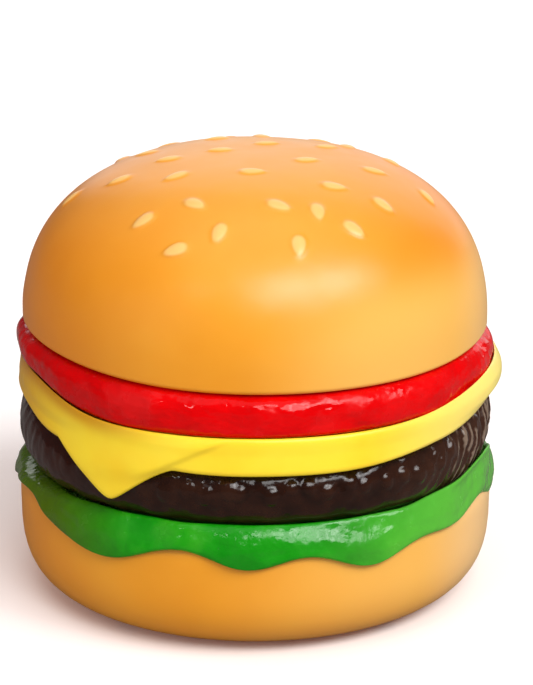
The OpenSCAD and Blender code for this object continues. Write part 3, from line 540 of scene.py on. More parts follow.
def seedField(points, normals):
    # each seed is a teardrop, 1 - u^2 - w^2 with u along it and w across it, narrower at one
    # end: 1 at its middle, 0 at its rim, below 0 outside
    s = topBun
    field = np.full(points.shape[:2], -1.0)
    for azimuth, r, heading in frontSeeds + rearSeeds:
        centre = turned(azimuth, r, domeHeight(r))
        out = turned(azimuth, 1, 0)
        side = np.array([-out[1], out[0], 0])
        near = np.argmin(np.linalg.norm(points - centre, axis=2))
        normal = normals.reshape(-1, 3)[near]
        down = np.cross(side, normal)
        turn = math.radians(heading)
        axis = math.cos(turn) * down + math.sin(turn) * side
        across = np.cross(normal, axis)
        offset = points - centre
        u = offset @ axis / (s["seedLength"] / 2)
        w = offset @ across / (s["seedWidth"] / 2 * (1 - s["seedTaper"] * u.clip(-1, 1)))
        value = np.where(np.abs(offset @ normal) < s["seedDeep"], 1 - u ** 2 - w ** 2, -1)
        field = np.maximum(field, value)
    return field


def seamRise(azimuth):
    # the seam over the tomato climbs a little towards both sides, more at the left
    return humps(wrapped(azimuth), topBun["seam"], 2)


def buildTopBun():
    # superellipse profiles for dome, lip and inside, turned round the axis; seeds and sag are
    # laid on along the normal
    s = topBun
    rise, rim = s["crown"] - s["shoulder"], s["lip"] - s["rimIn"]
    dome = superCurve(0, s["radius"], s["shoulder"], rise, s["power"], s["curveSteps"])
    lip = superCurve(s["lip"], s["radius"] - s["lip"], s["shoulder"],
                     s["bottom"] - s["shoulder"], s["lipPower"])[::-1]
    upper = along(dome, s["domeSteps"],
                  lambda p: np.where(p[:, 0] < s["fineWithin"], 1.0, s["sideShare"]))
    outer = np.concatenate([[(rim, s["bottom"])], along(lip, s["lipSteps"]), upper[1:]])
    outer[-1, 0] = 0
    inner = superCurve(0, s["radius"], s["shoulder"], rise, s["power"], inset=s["wall"])[::-1]
    inner = along(inner, s["lipSteps"])
    inner[0, 0] = 0
    inner = np.concatenate([inner, [(rim, s["bottom"] + s["rimUp"])]])
    azimuth = np.linspace(0, 360, s["rounds"], endpoint=False)[:, None]
    points = turned(azimuth, *outer.T)
    slope = np.gradient(outer, axis=0)
    normal = turned(azimuth, slope[:, 1], -slope[:, 0])
    normal /= np.linalg.norm(normal, axis=2)[:, :, None]
    seed = seedField(points, normal)
    relief = s["seedHeight"] * np.clip(seed, 0, 1) ** s["seedCrown"]
    relief += s["fillet"] * np.clip(1 + seed, 0, 1) ** 2  # soft fillet round each seed
    sag = s["sag"] * waves(azimuth, outer[:, 1], *s["sagWaves"])
    sag = sag * eased(outer[:, 0], *s["sagFrom"])
    points = points + normal * (relief - s["sink"] + sag)[:, :, None]
    points[:, -1] = points[:, -1].mean(axis=0)
    shell = turned(azimuth, *inner.T)
    points = np.concatenate([points, shell], axis=1)
    # painted light: the shell is paler low on the right, where the key light and the floor's bounce
    # fall
    paintedLight = eased(points[..., 0], *s["paintedLightRight"]) * eased(points[..., 2], *s["paintedLightBelow"])
    fields = {"seed": np.concatenate([seed, np.full(shell.shape[:2], -1.0)], axis=1),
              "paintedLight": paintedLight}
    points[..., 2] += seamRise(azimuth) * eased(points[..., 2], s["seamTop"], s["shoulder"])
    piece = gridMesh("topBunShell", points, fields=fields)
    finishPiece(piece, finishes["top_bun"], "lid", "bun_plastic", "top_bun")


buildTopBun()
print("top bun made")


# how the cheese lies, which the tomato over it follows too

cheese = {
    "radius": 63.2, "top": 58.15, "thick": 2.2, "skin": 0.2, "bore": 55.5,
    # its laps up the tomato; for each point of the lip its radius, its height over the top,
    # and what a millimetre of left and of right lap adds to its radius, and to its height
    "left": (5.8, -80, 31.5), "right": (4.8, 85, 34),
    "lip": [(60.8, 0, 0, 0, 0), (61.5, 0.45, -0.12, 0.22, 0.45),
            (61.95, 0.85, -0.18, 0.15, 0.8), (62.45, 0.9, -0.2, 0.09, 1)],
    # below the lip: past the radius, over the top, and its share of the patty's rise
    "shoulder": [(-0.2, 0.2, 0.62), (0, -1.15, 0.67), (0, -3.15, 0.75)],
    "bow": [(1.7, 80, 26), (-1.3, -90, 40)], "heldLeft": (-48, -68),
    "sag": [(1.9, 5, 32)], "hemUp": 0.9, "hemIn": 0.7, "hemDown": 0.15, "hangOver": 12,
    # the last two keys on the next line set the painted shade under the tomato's overhang: its
    # depth below the lip and where round it fades in
    "half": 161.0, "gap": 18.5, "steps": 420, "paintedOverhangShadeDeep": 3.2, "paintedOverhangShade": (-8.0, -48.0),
    "foldAt": -24.0, "foldLow": 49.0, "foldLean": 1.8, "foldHigh": 0.8, "foldWide": 16,
    "foldStep": (-1.5, 2.0), "foldFrom": (44, 50), "foldTo": (60, 56),
    "skinHigh": 0.12, "skinWaves": (21, 6, 3, 11, 0.15), "outside": 60.5, "crease": 50,
    # hanging corners: azimuth, depth, and how far each reaches to its left and right
    "corners": [(-34, 10.8, 15.5, 14), (124, 8, 15, 16), (-122, 7, 15, 14)],
    "blunt": 1.8, "cornerCurve": 1.35}


def lap(azimuth, side):
    # how far the cheese stands up the tomato on its left or right
    return humps(wrapped(azimuth), [cheese[side]])


# tomato slice

tomato = {
    "radius": 62.4, "core": 57.0, "bottom": 58.45, "high": 69.2, "bore": 54.0,
    "ledge": 50.0, "ledgeLow": 61.6, "ledgeHigh": 64.2, "rounds": 400, "rows": 47,
    "widest": 0.48, "boxy": 3.2, "wave": 0.32, "skinWaves": (11, 9, 5, 19, 0.25),
    "waveIn": 0.15, "waveFade": 0.7,
    # where the cheese laps up the left side the slice steps in above and behind it
    "lipCore": 60.0, "lapCore": 60.6, "lapSoon": 3, "lipDip": -0.33, "lapGap": 0.15,
    "heelIn": 2.6, "toeIn": 0.25,
    # room for the lid's hinge barrel: a gap for its tongue, and the scoop round the pin
    "tongueHalf": 12.3, "tongueFrom": 45, "tongueTo": 75, "under": 1, "over": 0.1,
    "pinY": 66.5, "pinZ": 58.3, "scoop": 4.8, "scoopHalf": 19.0, "crease": 32}


def buildTomato():
    # upper half of the edge: an ellipse; lower half: a boxier superellipse over the lip
    s = tomato
    azimuth = np.linspace(0, 360, s["rounds"], endpoint=False)[:, None]
    one = np.ones_like(azimuth)
    left = lap(azimuth, "left")
    share = left / cheese["left"][0]
    high = s["high"] + seamRise(azimuth)
    # the bottom stays close over the lip of the cheese
    low = cheese["top"] + cheese["lip"][-1][1] + left + s["lipDip"] + (
        s["lapGap"] - s["lipDip"]) * share
    middle = low + s["widest"] * (high - low)
    core = s["lipCore"] + (s["lapCore"] - s["lipCore"]) * eased(share * s["lapSoon"])
    t = np.radians(np.linspace(-90, 90, s["rows"]))[None, :]
    bow, height = np.cos(t).clip(0), np.sin(t)
    under = (t < 0)
    power = np.where(under, 2 / s["boxy"], 1.0)
    inner = np.where(under, core, s["core"])
    r = inner + (s["radius"] - inner) * bow ** power
    z = middle + np.where(under, middle - low, high - middle) * np.sign(height) * (
        np.abs(height) ** power)
    swell = s["wave"] * waves(azimuth, z, *s["skinWaves"]) - s["waveIn"]
    r = r + swell * bow ** s["waveFade"]
    # the ledge that the earpiece panel clamps, then the bottom of the slice
    inside = [(s["bore"], high), (s["bore"], s["ledgeHigh"]), (s["ledge"], s["ledgeHigh"]),
              (s["ledge"], s["ledgeLow"]), (s["bore"], s["ledgeLow"]), (s["bore"], s["bottom"]),
              (core - s["heelIn"], s["bottom"]), (core - s["toeIn"], low)]
    r, z = (np.concatenate([edge] + [row[k] * one for row in inside], axis=1)
            for k, edge in enumerate((r, z)))
    return gridMesh("tomatoSlice", turned(azimuth, r, z))


def blockCutter(name, low, high):
    # the eight corners of a box from its two extreme ones
    x, y, z = zip(low, high)
    corners = [(x[i], y[j], z[k]) for i in (0, 1) for j in (0, 1) for k in (0, 1)]
    faces = [(0, 1, 3, 2), (4, 6, 7, 5), (0, 4, 5, 1), (2, 3, 7, 6), (0, 2, 6, 4), (1, 5, 7, 3)]
    mesh = bpy.data.meshes.new(name)
    mesh.from_pydata([tuple(v * mm for v in c) for c in corners], [], faces)
    return placeObject(name, mesh)


def barrelCutter(name, y, z, radius, half, sides=48):
    # a cylinder along X: a ring of points in Y and Z carried from one end to the other
    turn = np.linspace(0, 2 * math.pi, sides, endpoint=False)
    ring = np.stack([y + radius * np.cos(turn), z + radius * np.sin(turn)], axis=1)
    rows = [np.column_stack([np.full(sides, x), ring]) for x in (-half, half)]
    return gridMesh(name, np.stack(rows, axis=0), loopRound=False)


def carve(piece, cutters, sharpAngle):
    # takes the cutters out of the piece, keeps the result as its mesh and removes the cutters
    for cutter in cutters:
        cut = piece.modifiers.new("cut", "BOOLEAN")
        cut.operation, cut.solver, cut.object = "DIFFERENCE", "EXACT", cutter
    bpy.context.view_layer.update()
    graph = bpy.context.evaluated_depsgraph_get()
    carved = bpy.data.meshes.new_from_object(piece.evaluated_get(graph))
    piece.modifiers.clear()
    old = piece.data
    piece.data = carved
    bpy.data.meshes.remove(old)
    for cutter in cutters:
        bpy.data.objects.remove(cutter)
    shadeSmooth(carved, sharpAngle)


tomatoPiece = buildTomato()
carve(tomatoPiece, [
    blockCutter("tongueGap", (-tomato["tongueHalf"], tomato["tongueFrom"],
                              tomato["bottom"] - tomato["under"]),
                (tomato["tongueHalf"], tomato["tongueTo"], tomato["ledgeLow"] + tomato["over"])),
    barrelCutter("pinScoop", tomato["pinY"], tomato["pinZ"], tomato["scoop"],
                 tomato["scoopHalf"])], tomato["crease"])
finishPiece(tomatoPiece, finishes["tomato"], "lid", "tomato_plastic", "tomato")
print("tomato made")


# patty

patty = {
    "radius": 62.3, "core": 56.0, "step": 55.6, "stepIn": 0.1, "inner": 54.0,
    "low": 34.7, "high": 51.5, "rounds": 700, "rows": 66, "inset": 0.35, "capInset": 0.3,
    "rises": [(4.5, 85, 30), (4.2, -85, 23.3)], "sinks": [(0.5, 85, 30)],
    # pebbles and knobs: mean and spread of their level, in degrees up the edge, and the
    # smallest and largest of their radii and heights
    "pebbles": 620, "seed": 7, "level": (30, 34), "levelKept": (-75, 82),
    "size": (1.4, 3.0), "height": (0.15, 0.5), "pebbleHigh": 0.62, "pebbleRound": 0.7,
    "knobs": 76, "knobStray": 1.5, "knobLevel": (13, 7), "knobSize": (1.7, 2.6),
    "knobHeight": 1.3, "smoothLeft": [(0.8, -78, 45)],
    "edgeRound": 7,  # radius that turns degrees up the edge into millimetres
    "perHeight": 9,  # degrees up the edge for each millimetre of a wave's height
    "reach": 4,  # degrees round the patty that a pebble can touch
    # ridges: where they rise, fade and are faint, how many, how they slant, sway and bend
    "strongRight": (35, 70), "behind": (110, 170), "lessBehind": 0.7, "faintLeft": (-50, -85),
    "leftShare": 0.3, "hollow": 0.8, "hollowEnds": (-0.7, 1.0), "paintedGlintFrom": (0.3, 0.8),
    "ridges": 100, "slant": 8.0, "sway": (1.6, 7), "bend": (0.9, 5), "ridgeHigh": 0.34,
    "fade": 0.4, "upShare": 0.5, "broken": 0.45, "brokenWaves": (19, 6, 14, 60, 1.4),
    "paintedGlint": 0.75, "paintedGlintWaves": (23, 8, 20, 90, 2.2), "lumps": 0.18,
    "lumpWaves": (5, 8, 9, 40, 0.9), "deepest": -0.6, "highest": 0.9}


def pattyRise(azimuth):
    # the edge of the patty stands higher at both sides, under the cheese
    return humps(azimuth, patty["rises"])


def pebbleField(azimuth, degrees):
    # round bumps scattered over the edge, height (1 - d^2 / size^2)^0.7 each, the highest wins
    s = patty
    rng = np.random.default_rng(s["seed"])
    place = np.stack([rng.uniform(-180, 180, s["pebbles"]),
                      rng.normal(*s["level"], s["pebbles"]).clip(*s["levelKept"])], axis=1)
    size = rng.uniform(*s["size"], s["pebbles"])
    height = rng.uniform(*s["height"], s["pebbles"])
    # a row of larger knobs under the cheese, which catch the light
    knobs = slice(0, s["knobs"])
    place[knobs, 0] = np.linspace(-180, 180, s["knobs"]) + rng.uniform(
        -s["knobStray"], s["knobStray"], s["knobs"])
    place[knobs, 1] = rng.normal(*s["knobLevel"], s["knobs"])
    size[knobs], height[knobs] = rng.uniform(*s["knobSize"], s["knobs"]), s["knobHeight"]
    height *= 1 - humps(place[:, 0], s["smoothLeft"])
    bump = np.zeros((len(azimuth), len(degrees)))
    for k in range(s["pebbles"]):
        near = np.abs(wrapped(azimuth - place[k, 0])) < s["reach"]
        dx = wrapped(azimuth[near] - place[k, 0])[:, None] * s["radius"] * math.pi / 180
        dy = (degrees - place[k, 1])[None, :] * s["edgeRound"] * math.pi / 180
        dome = height[k] * np.clip(1 - (dx ** 2 + dy ** 2) / size[k] ** 2, 0, 1) ** (
            s["pebbleRound"])
        bump[near] = np.maximum(bump[near], dome)
    return bump


def ridgeField(side, t):
    # upright ridges, sin(ridges a - slant sin(t) + sway + bend) with the hollows flattened:
    # strong at the right, fading out behind, faint at the left
    s = patty
    strength = (eased(side, *s["strongRight"])
                * (1 - s["lessBehind"] * eased(side, *s["behind"]))
                + s["leftShare"] * eased(side, *s["faintLeft"]))
    turn = np.radians(side)
    sway, swayTurns = s["sway"]
    bend, bendTurns = s["bend"]
    ridge = np.sin(turn * s["ridges"] - s["slant"] * np.sin(t) + sway * np.sin(turn * swayTurns)
                   + bend * np.sin(t * 2 + turn * bendTurns))
    broken = 1 + s["broken"] * waves(side, np.degrees(t) / s["perHeight"], *s["brokenWaves"])
    return strength, (2 * eased(ridge, *s["hollowEnds"]) - s["hollow"]) * broken


def buildPatty():
    # an elliptic edge, r = core + reach cos(t) and z = middle + half sin(t), with the bumps
    # and ridges laid on outwards
    s = patty
    azimuth = np.linspace(-180, 180, s["rounds"], endpoint=False)
    side, t = azimuth[:, None], np.radians(np.linspace(-90, 90, s["rows"]))[None, :]
    high = s["high"] + pattyRise(azimuth)[:, None]
    middle, half = (s["low"] + high) / 2, (high - s["low"]) / 2
    reach = s["radius"] - s["core"] - s["inset"]
    bump = pebbleField(azimuth, np.degrees(t[0]))
    strength, ridge = ridgeField(side, t)
    level = np.degrees(t) / s["perHeight"]
    lift = np.cos(t) ** s["fade"]
    swell = s["pebbleHigh"] * bump + s["ridgeHigh"] * strength * ridge * lift
    swell += s["lumps"] * waves(side, level, *s["lumpWaves"]) * lift
    swell = swell.clip(s["deepest"], s["highest"]) - humps(side, s["sinks"])
    r = s["core"] + (reach + swell) * np.cos(t)
    z = middle + (half - s["capInset"] + swell * s["upShare"]) * np.sin(t)
    # the step inside the raised edge, then the bore
    inside = np.array([s["step"], s["step"] - s["stepIn"], s["inner"], s["inner"]])
    r = np.concatenate([r, np.broadcast_to(inside, (len(side), 4))], axis=1)
    below = np.broadcast_to([s["high"], s["high"], s["low"]], (len(side), 3))
    z = np.concatenate([z.clip(s["low"], high), high, below], axis=1)
    # painted highlights: the tops of the strong ridges are painted pale in places, as glints of the
    # lamps on their crests
    paintedGlint = s["paintedGlint"] + s["paintedGlint"] * waves(side, level, *s["paintedGlintWaves"])
    crest = (eased(strength, *s["paintedGlintFrom"]) * ridge * paintedGlint).clip(0, 1)
    fields = {name: np.concatenate([field, np.zeros((len(side), 4))], axis=1)
              for name, field in (("pebble", bump), ("crest", crest))}
    piece = gridMesh("beefPatty", turned(side, r, z), fields=fields)
    finishPiece(piece, finishes["patty"], "base", "patty_plastic", "patty")


buildPatty()
print("patty made")


# slice of cheese, open at the back for the hinge

def cornerDrop(azimuth, corner):
    # a hanging corner: depth (1 - d / reach), blunted at its tip, straight to the left of it
    # and hollow to the right
    centre, depth, left, right = corner
    d = wrapped(azimuth - centre)
    far = np.sqrt(d * d + cheese["blunt"] ** 2) - cheese["blunt"]
    u = (1 - far / np.where(d < 0, left, right)).clip(0)
    return depth * np.where(d < 0, u, u ** cheese["cornerCurve"])


def cheeseLow(azimuth):
    # the lower edge: the top of the patty, less a flat sag and the deepest corner there
    drop = np.max([cornerDrop(azimuth, c) for c in cheese["corners"]], axis=0)
    return patty["high"] + pattyRise(azimuth) - humps(azimuth, cheese["sag"], 4) - drop


def cheeseSections(azimuth):
    # each section runs from the lip round the hanging side and back under to the bore
    s = cheese
    lift, left, right = pattyRise(azimuth), lap(azimuth, "left"), lap(azimuth, "right")
    high = patty["high"] + lift
    middle, half = (patty["low"] + high) / 2, (high - patty["low"]) / 2
    a, b = patty["radius"] - patty["core"] + s["skin"], half + s["skin"]
    low = np.minimum(cheeseLow(azimuth), high - s["hemDown"])
    end = np.degrees(np.arcsin((low - middle) / b))
    bow = humps(azimuth, s["bow"], 2)
    rows = [(r + perLeft * left + perRight * right, s["top"] + z + up * (left + right))
            for r, z, perLeft, perRight, up in s["lip"]]
    rows += [(s["radius"] + past + bow, s["top"] + z + share * lift)
             for past, z, share in s["shoulder"]]
    wall = rows[-1][1]
    reach = patty["radius"] + s["skin"] + s["thick"] - s["radius"]
    held = eased(azimuth, *s["heldLeft"])  # it stays drawn in where it hangs free at the left
    for k in (1, 2, 3):
        height = wall + (low + s["hemUp"] - wall) * k / 3
        rows.append((s["radius"] + bow * (1 - k / 3 * (1 - held))
                     + reach * (wall - height) / s["hangOver"], height))
    rows.append((rows[-1][0] - s["hemIn"], low - s["hemDown"]))
    # under the hem it follows the patty's edge, an ellipse, up to the bore
    for k in range(5):
        t = np.radians(end + (90 - end) * k / 4)
        rows.append((patty["core"] + a * np.cos(t), middle + b * np.sin(t)))
    return stacked(rows + [(s["bore"], middle + b), (s["bore"], np.full_like(b, s["top"]))])


def buildCheese():
    # the sections carried round, the two ends cut parallel at the gap for the hinge
    s = cheese
    azimuth = np.linspace(-s["half"], s["half"], s["steps"])
    azimuth = np.concatenate([[-s["half"]], azimuth, [s["half"]]])
    section = cornerCut(cheeseSections(azimuth), rounds=2)
    r, z = section[..., 0], section[..., 1]
    angle = np.repeat(azimuth[:, None], section.shape[1], axis=1)
    angle[0] = -180 + np.degrees(np.arcsin(s["gap"] / r[0]))
    angle[-1] = 180 - np.degrees(np.arcsin(s["gap"] / r[-1]))
    # a soft fold runs from beside the hanging corner up to the right: the corner's side stands
    # proud of it and sinks away slowly to the left
    past = angle - (s["foldAt"] + (z - s["foldLow"]) * s["foldLean"])
    fold = np.exp(-(past.clip(None, 0) / s["foldWide"]) ** 2) * (1 - eased(past, *s["foldStep"]))
    fold *= eased(z, *s["foldFrom"]) * eased(z, *s["foldTo"])
    swell = s["foldHigh"] * fold + s["skinHigh"] * waves(angle, z, *s["skinWaves"])
    swell = swell * (r > s["outside"])
    # painted shade: ochre fades down from the lip at the left, where the tomato's overhang shades
    # the cheese
    crest = s["top"] + s["lip"][-1][1] + lap(angle, "left")
    paintedOverhangShade = np.exp(-(((crest - z).clip(0)) / s["paintedOverhangShadeDeep"]) ** 2) * eased(angle, *s["paintedOverhangShade"])
    piece = gridMesh("cheeseSlice", turned(angle, r + swell, z), loopRound=False,
                     fields={"paintedOverhangShade": paintedOverhangShade}, sharpAngle=s["crease"])
    finishPiece(piece, finishes["cheese"], "base", "cheese_plastic", "cheese")


buildCheese()
print("cheese made")


# lettuce

lettuce = {
    "collar": 33.6, "frill": 36.0, "radius": 63.0, "reach": 64.15, "bore": 54.5,
    "gap": 0.25, "steps": 560, "flare": 1.5, "flareOver": 9,
    # the frill's left and right, where the leaf draws in, where its folds are rounder, and
    # a fold that faces the light
    "frillLeft": [(1.5, -70, 22)], "frillRight": [(5.0, 85, 33)], "frillEnd": (72, 94),
    "drawnIn": [(0.7, 90, 30)], "round": [(1, 92, 32)], "tilt": [(1, 24, 14)],
    "topOut": 0.9, "topIn": 0.2, "topUp": 0.1,
    # down the leaf: outwards, what roundness and tilt add to it, the share of the
    # leaf's height, and upwards
    "leaf": [(-1.8, 0.9, -0.9, 0.8, 0), (-0.5, 0.4, 0.2, 0.44, 0),
             (0.2, -0.5, 0, 0.14, 0), (-0.1, -0.7, 0, 0, 0.3), (-1.1, 0, 0, 0, -0.25)],
    "tuck": 0.05, "rimUp": 0.1, "ruffle": 0.28, "ruffleWaves": (31, 7, 8, 26, 0.4),
    "crease": 0.21, "creaseUp": 3.6, "creaseSway": 1.2, "creaseTurns": 9,
    "creaseWide": 0.9, "skinFrom": 0.9, "skinOver": 1.2,
    # azimuth, depth and half width of each hanging lobe
    "lobes": [(-36, 8.9, 16), (-1.5, 7.8, 13), (26.5, 8.9, 13.3), (52, 5.5, 14),
              (-54, 3.2, 10), (-74, 1.5, 10), (84, 7.5, 14), (112, 6, 13), (142, 8, 15),
              (172, 5, 13), (-158, 5.5, 14), (-128, 6, 13), (-98, 8.2, 14)]}
bottomBun = {
    "radius": 62.45, "wide": 25.2, "rim": 33.0, "inset": 3.4, "power": 2.6,
    "crease": 28}


def bunSide(z):
    # the bottom bun's radius above its widest level: radius - inset (share of the height)^2.6
    s = bottomBun
    share = (z - s["wide"]).clip(0) / (s["rim"] - s["wide"])
    return s["radius"] - s["inset"] * share ** s["power"]


def buildLettuce():
    # a closed section that runs under the patty, over the frill, down the leaf and back along
    # the bottom bun, its lower edge hung in lobes, with ruffles laid on outwards
    s = lettuce
    azimuth = np.linspace(0, 360, s["steps"], endpoint=False)
    turn = wrapped(azimuth)
    low = s["collar"] - sum(humps(wrapped(azimuth - centre), [(depth, 0, width)], 2)
                            for centre, depth, width in s["lobes"])
    hang = ((s["collar"] - low) / s["flareOver"]).clip(0, 1)
    out = s["radius"] + s["flare"] * hang - humps(turn, s["drawnIn"])
    crest = (s["frill"] - humps(turn, s["frillLeft"])
             + humps(turn, s["frillRight"]) * (1 - eased(turn, *s["frillEnd"])))
    # under the patty it follows the patty's edge, an ellipse, out to the frill
    high = patty["high"] + pattyRise(turn)
    middle, half = (patty["low"] + high) / 2, (high - patty["low"]) / 2 + s["gap"]
    end = np.arcsin((crest - middle) / half)
    rows = [(s["bore"], middle - half)]
    for k in range(5):
        t = -math.pi / 2 + (end + math.pi / 2) * k / 4
        rows.append((patty["core"] + (patty["radius"] - patty["core"] + s["gap"]) * np.cos(t),
                     middle + half * np.sin(t)))
    full, tilt = humps(turn, s["round"]), humps(turn, s["tilt"])
    rows.append((np.minimum(rows[-1][0] + s["topOut"], out - s["topIn"]), crest + s["topUp"]))
    rows += [(out + move + perFull * full + perTilt * tilt, low + share * (crest - low) + up)
             for move, perFull, perTilt, share, up in s["leaf"]]
    rim = bottomBun["rim"]
    for k in range(6):
        z = low - s["tuck"] + (rim - low) * k / 5
        rows.append((bunSide(z) + s["gap"], z))
    rows.append((s["bore"], np.full_like(low, rim + s["rimUp"])))
    section = cornerCut(stacked(rows), rounds=2)
    r, z = section[..., 0], section[..., 1]
    side = azimuth[:, None]
    ruffle = s["ruffle"] * waves(side, z, *s["ruffleWaves"])
    sway = s["creaseSway"] * np.sin(np.radians(side) * s["creaseTurns"])
    ruffle = ruffle - s["crease"] * np.exp(
        -((z - low[:, None] - s["creaseUp"] + sway) / s["creaseWide"]) ** 2)
    outside = ((r - bunSide(z) - s["skinFrom"]) / s["skinOver"]).clip(0, 1)
    r = np.minimum(r + ruffle * outside, s["reach"])
    piece = gridMesh("lettuceLeaf", turned(side, r, z))
    finishPiece(piece, finishes["lettuce"], "base", "lettuce_plastic", "lettuce")


buildLettuce()
print("lettuce made")


# bottom bun: the shell as it is, with its facets merged into one smooth skin

def smoothCopy(name, node, sharpAngle):
    # a node's own mesh, its loose triangles merged
    mesh = nodes[node].data.copy()
    work = bmesh.new()
    work.from_mesh(mesh)
    bmesh.ops.remove_doubles(work, verts=work.verts, dist=seamWithin)
    work.to_mesh(mesh)
    work.free()
    shadeSmooth(mesh, sharpAngle)
    return placeObject(name, mesh)


finishPiece(smoothCopy("bottomBunShell", "bottom_bun", bottomBun["crease"]),
            finishes["bottom_bun"], "base", "bun_plastic", "bottom_bun")
print("bottom bun made")


# keys: dished caps with printed legends

keyCap = {
    "flange": 0.8, "flangeHigh": 53.2, "edge": 0.9, "dish": 0.35, "corner": 4.5,
    "foot": 0.4, "tuck": 0.02, "around": 72, "edgeRows": 6, "crease": 50, "ink": 0.05,
    "dishRings": (0.93, 0.84, 0.72, 0.58, 0.42, 0.26, 0.1, 0.01),
    # size and place of a digit beside its letters, the letters, and what stands alone
    "digit": (5.2, -2.6, 0), "letters": (2.0, 2.6, 0), "lone": (5.2, 0, 0),
    "word": (2.2, 0, 0), "signs": {"star": (6.5, 0, -0.9), "hash": (4.6, 0, 0)},
    "legends": {"1": "", "2": "ABC", "3": "DEF", "4": "GHI", "5": "JKL", "6": "MNO",
                "7": "PRS", "8": "TUV", "9": "WXY", "star": "*", "0": "OPER", "hash": "#",
                "redial": "REDIAL", "flash": "FLASH", "mute": "MUTE"}}


def keyBox(name):
    # centre of the key in plan, half its size without the flange, its foot and its top
    low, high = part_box(name)
    centre = [(low[0] + high[0]) / 2 / mm, (low[1] + high[1]) / 2 / mm]
    half = [(high[axis] - low[axis]) / 2 / mm - keyCap["flange"] for axis in (0, 1)]
    return centre, half, low[2] / mm, high[2] / mm


def capOutline(half, grow=0.0):
    # superellipse |x/a|^n + |y/b|^n = 1 with evenly spread points, grown by grow all round
    count, n = keyCap["around"], keyCap["corner"]
    turn = np.linspace(0, 2 * math.pi, count, endpoint=False) + math.pi / count
    c, s = np.cos(turn), np.sin(turn)
    return np.stack([(half[0] + grow) * np.sign(c) * np.abs(c) ** (2 / n),
                     (half[1] + grow) * np.sign(s) * np.abs(s) ** (2 / n)], axis=1)


def dishHeight(x, y, half, top):
    # the top sinks as a shallow bowl: full depth at the middle, none at the edge
    s = keyCap
    far = (x / (half[0] - s["edge"])) ** 2 + (y / (half[1] - s["edge"])) ** 2
    return top - s["dish"] * np.clip(1 - far, 0, 1)


def inkMesh(text, size, x, y):
    # one word as a flat, thin mesh: points and faces, centred on x and y
    curve = bpy.data.curves.new(text, "FONT")
    curve.body, curve.size = text, size * mm
    curve.align_x, curve.align_y = "CENTER", "CENTER"
    curve.extrude = keyCap["ink"] * mm
    curve.resolution_u = 3
    holder = placeObject(text, curve)
    bpy.context.view_layer.update()
    mesh = bpy.data.meshes.new_from_object(holder)
    points = np.empty(len(mesh.vertices) * 3)
    mesh.vertices.foreach_get("co", points)
    points = points.reshape(-1, 3) / mm + (x, y, 0)
    faces = [tuple(face.vertices) for face in mesh.polygons]
    bpy.data.objects.remove(holder)
    return points, faces


def buildCap(name):
    # rings from the foot over the flange and the rounded edge, a quarter circle, to the dish
    s = keyCap
    centre, half, base, top = keyBox(name)
    rings = [(0.0, base, 0.01), (s["flange"], base, 1), (s["flange"], s["flangeHigh"], 1),
             (s["tuck"], s["flangeHigh"], 1), (0, s["flangeHigh"] + s["foot"], 1),
             (0, top - s["edge"], 1)]
    rings += [(-s["edge"] * (1 - math.cos(t)), top - s["edge"] * (1 - math.sin(t)), 1)
              for t in np.linspace(0, math.pi / 2, s["edgeRows"])[1:]]
    rows = [np.column_stack([capOutline(half, grow) * scale, np.full(s["around"], z)])
            for grow, z, scale in rings]
    for scale in s["dishRings"]:
        plan = capOutline(half, -s["edge"]) * scale
        rows.append(np.column_stack([plan, dishHeight(*plan.T, half, top)]))
    points = np.stack(rows, axis=1)
    points[:, 0, :2] = 0
    points[:, -1] = (0, 0, top - s["dish"])
    points[..., :2] += centre
    piece = gridMesh("cap_" + name[4:], points, loopProfile=False, sharpAngle=s["crease"])
    finishPiece(piece, keyBrown, name, "key_plastic", name)


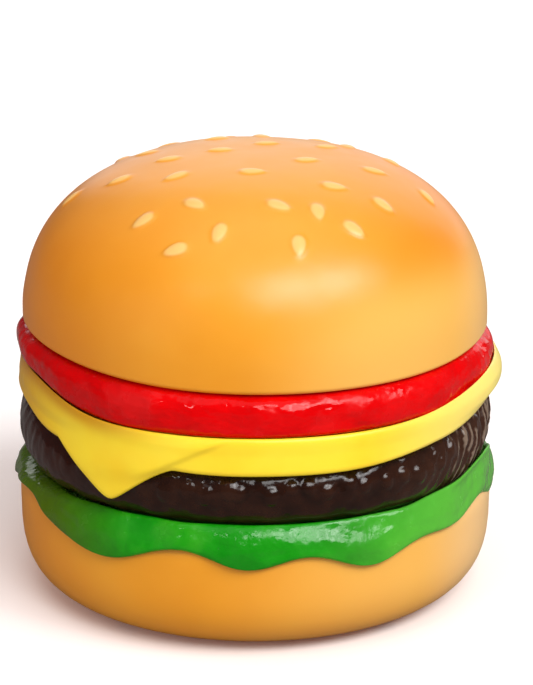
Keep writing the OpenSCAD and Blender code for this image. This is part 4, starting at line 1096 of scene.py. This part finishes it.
def buildLegend(name):
    # the ink follows the dish of the key that carries it
    s = keyCap
    centre, half, _, top = keyBox(name)
    label = name[4:]
    letters = s["legends"][label]
    if not label.isdigit():
        words = [(letters, *s["signs"].get(label, s["word"]))]
    elif letters:
        words = [(label, *s["digit"]), (letters, *s["letters"])]
    else:
        words = [(label, *s["lone"])]
    ink, allFaces = np.empty((0, 3)), []
    for word in words:
        points, faces = inkMesh(*word)
        allFaces += [tuple(index + len(ink) for index in face) for face in faces]
        ink = np.concatenate([ink, points])
    ink[:, 2] += dishHeight(ink[:, 0], ink[:, 1], half, top)
    ink[:, :2] += centre
    mesh = bpy.data.meshes.new("legend_" + label)
    mesh.from_pydata((ink * mm).tolist(), [], allFaces)
    finishPiece(placeObject("legend_" + label, mesh), padInk, name, "panel_plastic")


for keyName in keyNames:
    buildCap(keyName)
    buildLegend(keyName)
print("keys made:", len(keyNames))


# rubber mat: the flat sheet, and a dome under each key

rubberMat = {
    "sheet": 1.0, "foot": 3.9, "waist": 3.0, "stem": 2.4, "waistAt": 0.6,
    "press": 1.5, "clear": 0.02, "around": 40, "sheetCrease": 28, "domeCrease": 35}


def buildSheet(top):
    # the mat cut off just above its sheet, with the holes that the domes leave closed
    s = rubberMat
    piece = smoothCopy("keypadSheet", "rubber_keypad", s["sheetCrease"])
    work = bmesh.new()
    work.from_mesh(piece.data)
    bmesh.ops.bisect_plane(work, geom=work.verts[:] + work.edges[:] + work.faces[:],
                           plane_co=(0, 0, (top + s["clear"]) * mm), plane_no=(0, 0, 1),
                           clear_outer=True)
    bmesh.ops.holes_fill(work, edges=work.edges, sides=0)
    work.to_mesh(piece.data)
    work.free()
    piece.data.set_sharp_from_angle(angle=math.radians(s["sheetCrease"]))
    finishPiece(piece, finishes["rubber_keypad"], "base", "mat_rubber", "rubber_keypad")


def buildDome(name, floor):
    # a turned profile: a cone up to the waist, then a straight stem up to the key
    s = rubberMat
    (x, y), _, foot, _ = keyBox(name)
    height = foot - floor
    waist, top = floor + s["waistAt"] * height, floor + height - s["clear"]
    rows = [(0.0, floor), (s["foot"], floor), (s["waist"], waist), (s["stem"], waist),
            (s["stem"], top), (0.0, top)]
    r, z = np.array(rows).T
    side = np.linspace(0, 360, s["around"], endpoint=False)[:, None]
    points = turned(side, r, z) + (x, y, 0)
    piece = gridMesh("dome_" + name[4:], points, loopProfile=False,
                     sharpAngle=s["domeCrease"])
    finishPiece(piece, finishes["rubber_keypad"], "base", "mat_rubber")
    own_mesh(piece)


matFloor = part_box("rubber_keypad")[0][2] / mm + rubberMat["sheet"]
buildSheet(matFloor)
for keyName in keyNames:
    buildDome(keyName, matFloor)
print("rubber mat made")
